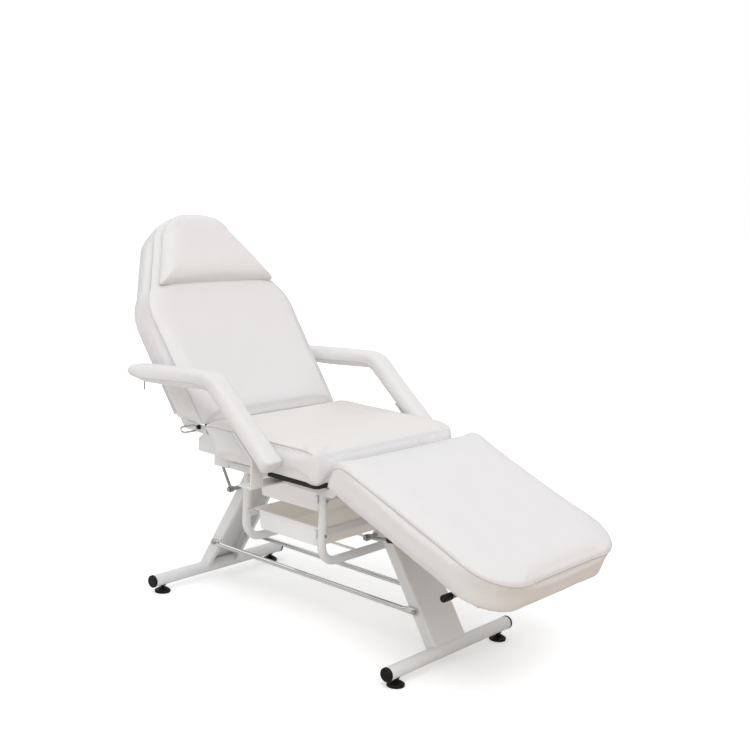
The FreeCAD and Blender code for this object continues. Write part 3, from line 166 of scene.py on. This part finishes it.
def stand_for(piece, node, material):
    """The plain solid is hidden and wears the same material. The piece is not used."""
    dress(cad[node], material)
    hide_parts(node)


def applied(piece):
    """The piece with its modifiers worked into its mesh."""
    graph = bpy.context.evaluated_depsgraph_get()
    mesh = bpy.data.meshes.new_from_object(piece.evaluated_get(graph))
    piece.modifiers.clear()
    piece.data = mesh


def worked(piece, kind, **values):
    """The piece with one modifier set and applied."""
    tool = piece.modifiers.new(kind.lower(), kind)
    for key, value in values.items():
        setattr(tool, key, value)
    applied(piece)


def welded(node):
    """A copy of the plain solid's mesh, with its loose triangles joined."""
    gap = 0.00002
    mesh = cad[node].data.copy()
    form = bmesh.new()
    form.from_mesh(mesh)
    bmesh.ops.remove_doubles(form, verts=form.verts, dist=gap)
    bmesh.ops.recalc_face_normals(form, faces=form.faces)
    form.to_mesh(mesh)
    form.free()
    if "custom_normal" in mesh.attributes:
        mesh.attributes.remove(mesh.attributes["custom_normal"])
    return mesh


def softened(mesh, real_edge):
    """Smooth shading that stops at real edges."""
    form = bmesh.new()
    form.from_mesh(mesh)
    for edge in form.edges:
        edge.smooth = len(edge.link_faces) == 2 and edge.calc_face_angle(0) < math.radians(real_edge)
    for face in form.faces:
        face.smooth = True
    form.to_mesh(mesh)
    form.free()


def eased(node, width, material=None):
    """The node's own shape with its sharp edges broken, as paint and moulding leave them."""
    flat, corner, real_edge, evenness = 0.5, 40, 50.0, 80
    material = material or paints[slots[node]]
    mesh = welded(node)
    form = bmesh.new()
    form.from_mesh(mesh)
    bmesh.ops.dissolve_limit(form, angle_limit=math.radians(flat), verts=form.verts, edges=form.edges)
    form.to_mesh(mesh)
    form.free()
    piece = placed(node + "_eased", mesh, material, node)
    worked(piece, "BEVEL", width=width, segments=2, limit_method="ANGLE", angle_limit=math.radians(corner))
    softened(piece.data, real_edge)
    worked(piece, "WEIGHTED_NORMAL", keep_sharp=True, weight=evenness)
    stand_for(piece, node, material)


for node in ("rear_foot_tube", "front_foot_tube", "foot_tube_caps", "levelling_inserts"):
    eased(node, width=0.0006)
for end in ("rear", "front"):
    for side in ("left", "right"):
        eased("levelling_foot_" + end + "_" + side, width=0.0008)

# Legs: two lipped channels, pressed from sheet steel and powder coated white. They are coped
# over the foot tubes and welded to them.
for node in ("rear_leg", "front_leg"):
    eased(node, width=0.0006)

# Stretcher rods: two round steel bars, chrome plated. Their ends are pressed flat, and zinc
# plated bolts hold them to the legs.
paints["chrome"] = finish("chrome_plate", (0.72, 0.715, 0.70, 1), roughness=0.10, metallic=1.0,
                          grain=300.0, bump=0.03)
paints["zinc_steel"] = finish("zinc_plate", (0.42, 0.42, 0.41, 1), roughness=0.34, metallic=1.0,
                              grain=500.0, bump=0.10)


def stretcher(node):
    """A sheet of faces rolled round the bar: flat and squarish in section at the ends, round
    along the middle, with a smooth taper between."""
    radius, flat_half, flat_thick, sides = 0.0075, 0.011, 0.0025, 20
    flat_end, taper, taper_steps = 0.028, 0.024, 4
    square, round_section, tip_least = 4, 2, 0.02
    weld, real_edge = 0.00001, 50.0
    low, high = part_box(node)
    length = high.x - low.x
    inner_y, outward = (high.y, -1) if high.y < 0 else (low.y, 1)
    middle_z = (low.z + high.z) / 2
    stops = [0.0, 0.001, 0.003, 0.006, flat_half]
    stops += [flat_end + taper * step / taper_steps for step in range(taper_steps + 1)]
    runs = stops + [length - stop for stop in reversed(stops)]
    form = bmesh.new()
    bmesh.ops.create_grid(form, x_segments=len(runs) - 1, y_segments=sides, size=1)
    for index, vertex in enumerate(form.verts):
        turn, stop = divmod(index, len(runs))
        near = min(runs[stop], length - runs[stop])
        share = min(1, max(0, (near - flat_end) / taper))
        share = share * share * (3 - 2 * share)
        tip = math.sqrt(max(tip_least, 1 - (1 - min(near, flat_half) / flat_half) ** 2))
        wide = (flat_half * (1 - share) + radius * share) * tip
        thick = flat_thick * (1 - share) + radius * share
        power = 2 / (square * (1 - share) + round_section * share)
        angle = 2 * math.pi * turn / sides
        c, s = math.cos(angle), math.sin(angle)
        y = inner_y + outward * thick + math.copysign(abs(c) ** power, c) * thick
        z = middle_z + math.copysign(abs(s) ** power, s) * wide
        vertex.co = (low.x + runs[stop], y, z)
    bmesh.ops.remove_doubles(form, verts=form.verts, dist=weld)
    ends = [edge for edge in form.edges if edge.is_boundary]
    bmesh.ops.holes_fill(form, edges=ends, sides=sides)
    bmesh.ops.recalc_face_normals(form, faces=form.faces)
    mesh = bpy.data.meshes.new(node + "_bar")
    form.to_mesh(mesh)
    form.free()
    softened(mesh, real_edge)
    stand_for(placed(node + "_bar", mesh, paints["chrome"], node), node, paints["chrome"])


stretcher("right_stretcher_rod")
stretcher("left_stretcher_rod")
eased("stretcher_bolts", width=0.0005)


# Tray hoops: white steel tube, bent up at both sides and welded under the seat rails, with
# two thin ties between them.
def bar_along(name, points, radius, material, node, closed=False, fineness=6):
    """A round bar or cord along a row of points."""
    real_edge = 60.0
    line = bpy.data.curves.new(name, "CURVE")
    line.dimensions = "3D"
    line.bevel_depth = radius
    line.bevel_resolution = fineness
    line.use_fill_caps = True
    spline = line.splines.new("POLY")
    spline.points.add(len(points) - 1)
    for knot, place in zip(spline.points, points):
        knot.co = (*place, 1)
    spline.use_cyclic_u = closed
    drawn = bpy.data.objects.new(name, line)
    bpy.context.scene.collection.objects.link(drawn)
    mesh = bpy.data.meshes.new_from_object(drawn)
    bpy.data.objects.remove(drawn)
    softened(mesh, real_edge)
    return placed(name, mesh, material, node)


def hoop(node):
    """Half of the tube's line, upright and bend, and its mirror image for the other side."""
    bend, lead, steps = 0.058, 0.02, 12
    low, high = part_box(node)
    radius = (high.x - low.x) / 2
    x = (low.x + high.x) / 2
    side_y = high.y - radius
    bar_z = low.z + radius
    points = [(x, side_y, high.z), (x, side_y, bar_z + bend + lead)]
    for step in range(steps + 1):
        angle = math.pi / 2 * step / steps
        points.append((x, side_y - bend + bend * math.cos(angle), bar_z + bend - bend * math.sin(angle)))
    points += [(x, -y, z) for x, y, z in reversed(points)]
    white = paints["white_frame"]
    stand_for(bar_along(node + "_tube", points, radius, white, node), node, white)


hoop("rear_tray_hoop")
hoop("front_tray_hoop")
eased("hoop_ties", width=0.0003)

# Trays: two drawers moulded in white plastic, whose rims hang on folded steel runners that
# are screwed to the hoops' uprights. Behind the front, a warm painted bounce tone and a small
# painted glow stand in for the light that their walls let through and throw about inside.
for node in ("tray_runners", "runner_screws"):
    eased(node, width=0.0003)


def parted(material, socket, axis, at, before, beyond):
    """Two colours on one piece, parted at a place along x, y or z (axis 0, 1 or 2)."""
    tree = material.node_tree
    place = source(tree, "ShaderNodeTexCoord", "Object")
    along = place.node("ShaderNodeSeparateXYZ", out=axis, Vector=place)
    (along > at).blend(before, beyond).feed(tree.nodes["Principled BSDF"], socket)


def painted_glow_tray_skin(node):
    wall = 0.016
    # Painted light: past the front wall the plastic takes a warm bounce tone and a glow, not its own colour.
    front_tone, painted_bounce_tone = (0.89, 0.885, 0.885, 1), (0.84, 0.82, 0.78, 1)
    painted_front_glow, painted_inner_glow = (0.03, 0.03, 0.03, 1), (0.085, 0.08, 0.075, 1)
    made = finish(node + "_skin", (0.80, 0.79, 0.77, 1), roughness=0.35, metallic=0.0,
                  grain=500.0, bump=0.05)
    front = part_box(node)[0].y + wall
    parted(made, "Base Color", 1, front, front_tone, painted_bounce_tone)
    parted(made, "Emission Color", 1, front, painted_front_glow, painted_inner_glow)
    made.node_tree.nodes["Principled BSDF"].inputs["Emission Strength"].default_value = 1.0
    return made


for node in ("upper_tray", "lower_tray"):
    eased(node, 0.0012, painted_glow_tray_skin(node))

# Seat frame: square steel tube under the seat board, with flat hinge plates welded outside
# its rails, lugs on the two turning frames, and the pins through both.
for node in ("left_seat_rail", "right_seat_rail", "seat_cross_tubes", "backrest_hinge_plates",
             "leg_rest_hinge_plates", "hinge_pins", "left_backrest_rail", "right_backrest_rail",
             "backrest_cross_tubes", "backrest_hinge_lugs", "left_leg_rest_rail",
             "right_leg_rest_rail", "leg_rest_cross_tubes", "leg_rest_hinge_lugs"):
    eased(node, width=0.0008)

# Struts: black lacquered steel tubes that slide on zinc plated rods, one under each turning
# section. Bolts pin them between cheeks that are welded on the sections' cross tubes.
paints["dark_steel"] = finish("black_lacquer", (0.03, 0.03, 0.03, 1), roughness=0.30, metallic=0.0,
                              grain=600.0, bump=0.08)
for node in ("backrest_strut_hanger", "leg_rest_strut_hanger", "backrest_strut_rod",
             "backrest_strut_tube", "leg_rest_strut_rod", "leg_rest_strut_tube", "strut_bolts"):
    eased(node, width=0.0005)

# Release levers: a chromed wire loop for the backrest, and a flat bar with a moulded grip
# for the leg rest.
for node in ("backrest_lever", "backrest_lever_ferrule", "backrest_lever_bush", "leg_rest_lever",
             "leg_rest_lever_grip", "leg_rest_lever_bolt"):
    eased(node, width=0.0004)

# Boards: plywood panels under the foam. The seat's is dark ahead of the arm posts and light
# behind them. The two turning sections have theirs covered with the white leatherette.
board_edge = 0.001
dark_start = -0.012
board_light_tone, board_dark_tone = (0.72, 0.71, 0.70, 1), (0.035, 0.033, 0.03, 1)
seat_board_skin = finish("dark_and_light_board", board_dark_tone, roughness=0.6, metallic=0.0, grain=200.0, bump=0.2)
parted(seat_board_skin, "Base Color", 0, dark_start, board_light_tone, board_dark_tone)
eased("seat_board", board_edge, seat_board_skin)
board_cover = finish("covered_board", (0.74, 0.73, 0.72, 1), roughness=0.5, metallic=0.0,
                     grain=900.0, bump=0.2)
for node in ("backrest_board", "leg_rest_board"):
    eased(node, board_edge, board_cover)


# Seat cushion: a crowned foam pad under stretched leatherette, with a piped seam between its
# top and its side band. Like each pad it is remeshed as cloth, filled with a little air and
# held back by a cap on how far its cover may swell.
def leatherette(name, tint, warm, above=None):
    """A cover whose tone wanders between two, with rubbed gloss, a fine grain and soft
    puckers. Where a height is given, the cover below it is a cooler plain white: painted
    shade on the side band that the arms shade."""
    wander_scale, wander_detail = 5.0, 3.0
    painted_shade_tone, low_slope = (0.79, 0.78, 0.785, 1), 60.0
    rub_scale, rub_detail, rub_span, rub_least = 14.0, 4.0, 0.16, 0.36
    grain_scale, grain_bump, grain_height = 900.0, 0.10, 0.0006
    pucker_scale, pucker_detail, pucker_bump, pucker_height = 26.0, 2.0, 0.12, 0.004
    made, shader, place = new_material(name)
    wander = place.node("ShaderNodeTexNoise", Vector=place, Scale=wander_scale, Detail=wander_detail)
    colour = wander.blend(tint, warm)
    if above:
        # Painted shade: below the height the tone turns to a cooler white.
        level = place.node("ShaderNodeSeparateXYZ", out=2, Vector=place)
        colour = ((level - above) * low_slope).blend(painted_shade_tone, colour)
    colour.feed(shader, "Base Color")
    rub = place.node("ShaderNodeTexNoise", Vector=place, Scale=rub_scale, Detail=rub_detail)
    (rub * rub_span + rub_least).feed(shader, "Roughness")
    grain = place.node("ShaderNodeTexVoronoi", Vector=place, Scale=grain_scale)
    pucker = place.node("ShaderNodeTexNoise", Vector=place, Scale=pucker_scale, Detail=pucker_detail)
    fine = place.node("ShaderNodeBump", Strength=grain_bump, Distance=grain_height, Height=grain)
    soft = place.node("ShaderNodeBump", Strength=pucker_bump, Distance=pucker_height, Height=pucker,
                      Normal=fine)
    soft.feed(shader, "Normal")
    shader.inputs["Specular IOR Level"].default_value = 0.40
    return made


# The seat's cover turns a cooler white below 0.585 m: painted shade on its side band.
seat_skin = leatherette("seat_leatherette", (0.80, 0.775, 0.755, 1), (0.785, 0.755, 0.73, 1), above=0.585)
# The piping is a darker grey than the pads: painted shade, for the crease shadow beside each seam.
shaded_piping_skin = leatherette("piping_leatherette_painted_shade", (0.68, 0.665, 0.66, 1), (0.64, 0.625, 0.615, 1))


def swell(pad, cap):
    """Air pressed into the cover, which may move no further than the cap."""
    last_frame, air = 20, 4.0
    before = [v.co.copy() for v in pad.data.vertices]
    cloth = pad.modifiers.new("cloth", "CLOTH")
    cloth.settings.quality = 2
    cloth.settings.use_pressure = True
    cloth.settings.uniform_pressure_force = air
    cloth.settings.effector_weights.gravity = 0.0
    cloth.point_cache.frame_start = 1
    cloth.point_cache.frame_end = last_frame
    for step in range(1, last_frame + 1):
        bpy.context.scene.frame_set(step)
    applied(pad)
    bpy.context.scene.frame_set(1)
    for vertex, was in zip(pad.data.vertices, before):
        move = vertex.co - was
        if move.length > cap:
            vertex.co = was + move * (cap / move.length)


def upholstered(name, node, skin, cap, shrink=0.001, ripple=0.0008, shaped=None):
    """A pad from its plain solid: rounded off, drawn in, shaped, swollen and rippled."""
    broad, close, close_share = 11.0, 23.0, 0.6
    pad = placed(name, welded(node), skin, node)
    worked(pad, "REMESH", mode="VOXEL", voxel_size=0.006)
    worked(pad, "SMOOTH", factor=0.5, iterations=4)
    worked(pad, "DISPLACE", strength=-shrink, mid_level=0.0)
    if shaped:
        for vertex in pad.data.vertices:
            vertex.co = shaped(vertex.co)
    swell(pad, cap)
    moves = [(v.co.copy(), v.normal.copy()) for v in pad.data.vertices]
    for vertex, (place, way) in zip(pad.data.vertices, moves):
        wave = noise.noise(place * broad) + close_share * noise.noise(place * close)
        vertex.co = place + way * ripple * wave
    worked(pad, "SUBSURF", levels=1, render_levels=1)
    dress(pad, skin)
    for face in pad.data.polygons:
        face.use_smooth = True
    stand_for(pad, node, skin)
    return pad


def piping(name, points, radius, pad, node, closed=False, sink=0.35):
    """A sewn cord that lies along a seam of a pad, partly sunk into its cover."""
    rounds, fineness = 4, 3
    tree = BVHTree.FromObject(pad, bpy.context.evaluated_depsgraph_get())
    seated = []
    for point in points:
        near, normal = tree.find_nearest(point)[:2]
        seated.append(near + normal * radius * sink)
    count = len(seated)
    for _ in range(rounds):
        smoothed = list(seated)
        for i in (range(count) if closed else range(1, count - 1)):
            smoothed[i] = (seated[i - 1] + seated[i] * 2 + seated[(i + 1) % count]) / 4
        seated = smoothed
    return bar_along(name, seated, radius, shaded_piping_skin, node, closed, fineness)


def spaced(corners, step=0.01):
    """Points every step along straight runs between corners."""
    points = []
    for start, end in zip(corners, corners[1:]):
        start, end = Vector(start), Vector(end)
        count = max(1, round((end - start).length / step))
        points += [start.lerp(end, i / count) for i in range(count)]
    return points + [Vector(corners[-1])]


seat_pad = upholstered("seat_pad", "seat_cushion", seat_skin, cap=0.006)
seat_low, seat_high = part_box("seat_cushion")
seam_inset, seam_height, seat_cord = 0.004, 0.098, 0.0022
seam_behind = ((0.006, 0.012), (0.05, 0.0))
seam_ahead = ((0.085, 0.0), (0.045, 0.004), (0.028, 0.010))


def seat_seam(side):
    """The seam along one side, from distances to the rear and front ends and falls below
    the seam's level."""
    edge = side * (seat_high.y - seam_inset)
    rise = seat_low.z + seam_height
    points = [(seat_low.x + run, edge, rise - fall) for run, fall in seam_behind]
    return points + [(seat_high.x - run, edge, rise - fall) for run, fall in seam_ahead]


for side, tag in ((-1, "right"), (1, "left")):
    piping("seat_piping_" + tag, spaced(seat_seam(side)), seat_cord, seat_pad, "seat_cushion")

# Backrest cushion: a flat foam panel with shoulders that narrow to a round head end. Its
# white leatherette cover is piped along its front edge. Places on it are measured up from
# the hinge, across, and out from the frame.
white_skin = leatherette("white_leatherette", (0.80, 0.79, 0.795, 1), (0.785, 0.77, 0.77, 1))
back_pad = upholstered("back_pad", "backrest_cushion", white_skin, cap=0.005)
tubes = [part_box("rear_foot_tube"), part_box("front_foot_tube")]
middle = sum(low.x + high.x for low, high in tubes) / 4
back_hinge = Vector((-0.277 + middle, 0, 0.556))
back_turn = math.radians(52.5)
shoulder, neck, crown, head_end = 0.38, 0.486, 0.672, 0.752
hip_half, shoulder_half, neck_half, crown_half = 0.293, 0.307, 0.268, 0.165
back_seam_start, back_seam_count, seam_step = 0.02, 69, 0.0106
back_seam_inset, back_seam_out, back_cord = 0.003, 0.036, 0.0022


def on_back(s, y, n):
    x = back_hinge.x - s * math.cos(back_turn) + n * math.sin(back_turn)
    return Vector((x, y, back_hinge.z + s * math.sin(back_turn) + n * math.cos(back_turn)))


def round_end(s, start, end, half):
    """Half width of an elliptic end."""
    share = min(1, (s - start) / (end - start))
    return half * math.sqrt(max(0, 1 - share * share))


def back_half(s):
    """Half width of the panel: wider up to the shoulder, bent over to the neck, then straight
    in to the crown and the round end."""
    if s < shoulder:
        return hip_half + (shoulder_half - hip_half) * s / shoulder
    if s < neck:
        share = (s - shoulder) / (neck - shoulder)
        return shoulder_half - (shoulder_half - neck_half) * share * share * (1.6 - 0.6 * share)
    if s < crown:
        return neck_half - (neck_half - crown_half) * (s - neck) / (crown - neck)
    return round_end(s, crown, head_end, crown_half)


steps = [back_seam_start + seam_step * i for i in range(back_seam_count)]
edge_line = [on_back(s, back_seam_inset - back_half(s), back_seam_out) for s in steps]
edge_line += [on_back(s, back_half(s) - back_seam_inset, back_seam_out) for s in reversed(steps[:-1])]
piping("backrest_piping", edge_line, back_cord, back_pad, "backrest_cushion")

# Head pillow: a flat filled pillow on the backrest's head end, with a straight lower edge.
# Its leatherette cover is sewn thin and piped all round its rim.
pillow_start, pillow_end = 0.488, 0.744
pillow_start_half, pillow_crown_half = 0.247, 0.145
filling_out, rim_width, rim_share, stretch = 0.0425, 0.07, 0.22, 1.05
rim_start, rim_count, rim_out, pillow_cord = 0.477, 26, 0.048, 0.0018
lower_edge = 0.476


def pillow_half(s):
    if s < crown:
        narrowing = pillow_start_half - pillow_crown_half
        return pillow_start_half - narrowing * (s - pillow_start) / (crown - pillow_start)
    return round_end(s, crown, pillow_end, pillow_crown_half)


def sewn_thin(place):
    """The pillow's filling thins out towards the seam round its rim."""
    away = place - back_hinge
    s = away.z * math.sin(back_turn) - away.x * math.cos(back_turn)
    n = away.x * math.sin(back_turn) + away.z * math.cos(back_turn)
    rim = max(0, min(s - pillow_start, pillow_half(s) - abs(place.y), pillow_end - s))
    share = min(1, rim / rim_width)
    thick = rim_share + (1 - rim_share) * math.sqrt(1 - (1 - share) ** 2)
    return on_back(pillow_end - (pillow_end - s) * stretch, place.y, filling_out + (n - filling_out) * thick)


pillow = upholstered("pillow", "head_pillow", white_skin, cap=0.005, shaped=sewn_thin)
steps = [rim_start + seam_step * i for i in range(rim_count)]
rim = [on_back(s, -pillow_half(s), rim_out) for s in steps]
rim += [on_back(s, pillow_half(s), rim_out) for s in reversed(steps)]
rim += spaced([on_back(lower_edge, side * pillow_start_half, rim_out) for side in (1, -1)])
piping("pillow_piping", rim, pillow_cord, pillow, "head_pillow", closed=True)

# Leg rest cushion: a long foam pad with a rounded foot end. Its leatherette cover is piped
# round the top edge and down the rear corners. Places on it are measured out from the
# hinge, across, and up from the frame.
leg_pad = upholstered("leg_pad", "leg_rest_cushion", white_skin, cap=0.005, ripple=0.0014)
leg_hinge = Vector((0.250 + middle, 0, 0.492))
leg_turn = math.radians(22.0)
leg_rim_start, leg_rim_up, leg_cord = 0.030, 0.102, 0.0024
leg_rim_half, leg_rim_end, leg_rim_bend, bend_steps = 0.309, 0.596, 0.124, 18
drop_run = ((0.003, 0.014), (-0.006, 0.05), (-0.004, 0.075), (0.010, 0.094))


def on_leg(s, y, n=leg_rim_up):
    x = leg_hinge.x + s * math.cos(leg_turn) + n * math.sin(leg_turn)
    return Vector((x, y, leg_hinge.z - s * math.sin(leg_turn) + n * math.cos(leg_turn)))


def leg_rim():
    """The seam round the top: along one side, round the foot end and back."""
    bend_s, bend_y = leg_rim_end - leg_rim_bend, leg_rim_half - leg_rim_bend
    turns = [math.pi / 2 * step / bend_steps for step in range(1, bend_steps)]
    points = spaced([on_leg(leg_rim_start, -leg_rim_half), on_leg(bend_s, -leg_rim_half)])
    points += [on_leg(bend_s + leg_rim_bend * math.sin(a), -bend_y - leg_rim_bend * math.cos(a))
               for a in turns]
    points += spaced([on_leg(leg_rim_end, -bend_y), on_leg(leg_rim_end, bend_y)])
    points += [on_leg(bend_s + leg_rim_bend * math.cos(a), bend_y + leg_rim_bend * math.sin(a))
               for a in turns]
    return points + spaced([on_leg(bend_s, leg_rim_half), on_leg(leg_rim_start, leg_rim_half)])


near_drop = [on_leg(s, -leg_rim_half, n) for s, n in drop_run]
far_drop = [Vector((p.x, -p.y, p.z)) for p in reversed(near_drop)]
piping("leg_rest_piping", spaced(near_drop) + leg_rim() + spaced(far_drop), leg_cord, leg_pad,
       "leg_rest_cushion")

# Armrests: padded boomerangs on a core, covered with the white leatherette, with the seams
# low along each side. Flat steel brackets on the seat rails hold them.
arm_rear = Vector((-0.500, 0, 0.716))
arm_knee = Vector((-0.142, 0, 0.744))
arm_foot = Vector((0.104, 0, 0.536))
arm = (arm_knee - arm_rear).normalized()
post = (arm_foot - arm_knee).normalized()
up, out = Vector((-arm.z, 0, arm.x)), Vector((-post.z, 0, post.x))
seam_fall, seam_turn, seam_tip, knee_in, knee_fall = 0.011, 0.050, 0.004, 0.012, 0.024
arm_cord, arm_sink = 0.0016, 0.1
seam_line = [arm_rear + arm * seam_tip + up * seam_tip,
             arm_rear + arm * seam_turn - up * seam_fall,
             arm_knee - arm * seam_turn - up * seam_fall,
             arm_knee - arm * knee_in - up * knee_fall + post * seam_tip,
             arm_knee + post * seam_turn - out * seam_fall,
             arm_foot - out * seam_fall]
for node, tag, side in (("left_armrest_pad", "left", 1), ("right_armrest_pad", "right", -1)):
    pad = upholstered(tag + "_arm", node, white_skin, cap=0.004, shrink=0.0008, ripple=0.0005)
    for face_y, sort in ((0.389, "outer"), (0.316, "inner")):
        seam = [Vector((p.x + middle, side * face_y, p.z)) for p in seam_line]
        piping(tag + "_arm_seam_" + sort, spaced(seam), arm_cord, pad, node, sink=arm_sink)
for node in ("armrest_brackets", "armrest_bolts", "armrest_studs"):
    eased(node, width=0.0005)

# Studio floor: pale and matt. The camera sees it white, with the chair's shadow, and what
# it throws back at the chair is warmer towards the leg rest.
floor_mesh = bpy.data.meshes.new("floor")
form = bmesh.new()
bmesh.ops.create_grid(form, x_segments=1, y_segments=1, size=30)
form.to_mesh(floor_mesh)
form.free()
floor = bpy.data.objects.new("floor", floor_mesh)
bpy.context.scene.collection.objects.link(floor)
ground, shader, spot = new_material("floor")
white, black, floor_glow = (1.0, 1.0, 1.0, 1), (0, 0, 0, 1), (0.26, 0.26, 0.26, 1)
cool_bounce, warm_bounce = (0.84, 0.825, 0.81, 1), (0.66, 0.55, 0.44, 1)
warm_slope, warm_start = 0.9, 0.1
seen = source(spot.tree, "ShaderNodeLightPath", "Is Camera Ray")
reach = spot.node("ShaderNodeSeparateXYZ", out=0, Vector=spot) * warm_slope - warm_start
seen.blend(reach.blend(cool_bounce, warm_bounce), white).feed(shader, "Base Color")
seen.blend(black, floor_glow).feed(shader, "Emission Color")
shader.inputs["Emission Strength"].default_value = 1.0
shader.inputs["Roughness"].default_value = 0.9
shader.inputs["Specular IOR Level"].default_value = 0.0
dress(floor, ground)

# Studio room: an even light, a little brighter above, which the camera sees as white.
# Reflections see a dark horizon under bright lamps, for the dark edges of the chrome.
world = bpy.data.worlds.new("studio")
world.use_nodes = True
bpy.context.scene.world = world
tree = world.node_tree
horizon, ceiling = (0.66, 0.66, 0.665, 1), (0.84, 0.84, 0.84, 1)
dark_band, lamp_tone, band_top, band_slope = (0.16, 0.16, 0.16, 1), (1.2, 1.2, 1.2, 1), 0.12, 2.6
aim = source(tree, "ShaderNodeTexCoord", "Generated")
height = aim.node("ShaderNodeSeparateXYZ", out=2, Vector=aim)
lamps = ((height - band_top) * band_slope).blend(dark_band, lamp_tone)
room = source(tree, "ShaderNodeLightPath", "Is Glossy Ray").blend(height.blend(horizon, ceiling), lamps)
tint = source(tree, "ShaderNodeLightPath", "Is Camera Ray").blend(room, white)
tint.feed(tree.nodes["Background"], "Color")

# Key light: one broad and soft lamp, from above and ahead of the chair, on the side where
# the camera stands.
sun_way, sun_spread = Vector((-0.42, 0.48, -0.78)), 32
sun = bpy.data.lights.new("key", "SUN")
sun.energy = 0.92
sun.angle = math.radians(sun_spread)
holder = bpy.data.objects.new("key", sun)
bpy.context.scene.collection.objects.link(holder)
holder.rotation_mode = "QUATERNION"
holder.rotation_quaternion = sun_way.to_track_quat("-Z", "Y")

# Camera: ahead of the chair on its right and a little above it, and tipped sideways by a
# few degrees, as the photograph is.
turn, tilt, roll = math.radians(40.05), math.radians(9.53), math.radians(2.99)
stand = Vector((2.3588 + middle, -2.6253, 1.3537))
back = Vector((math.sin(turn) * math.cos(tilt), -math.cos(turn) * math.cos(tilt), math.sin(tilt)))
right = Vector((math.cos(turn), math.sin(turn), 0))
above = back.cross(right)
across = right * math.cos(roll) + above * math.sin(roll)
upward = above * math.cos(roll) - right * math.sin(roll)
lens = bpy.data.cameras.new("camera")
lens.sensor_width = 36.0
lens.lens = 57.895
lens.clip_start, lens.clip_end = 0.05, 80.0
camera = bpy.data.objects.new("camera", lens)
bpy.context.scene.collection.objects.link(camera)
aimed = Matrix((across, upward, back)).transposed().to_4x4()
camera.matrix_world = Matrix.Translation(stand) @ aimed
bpy.context.scene.camera = camera
bpy.context.scene.view_settings.view_transform = "Standard"
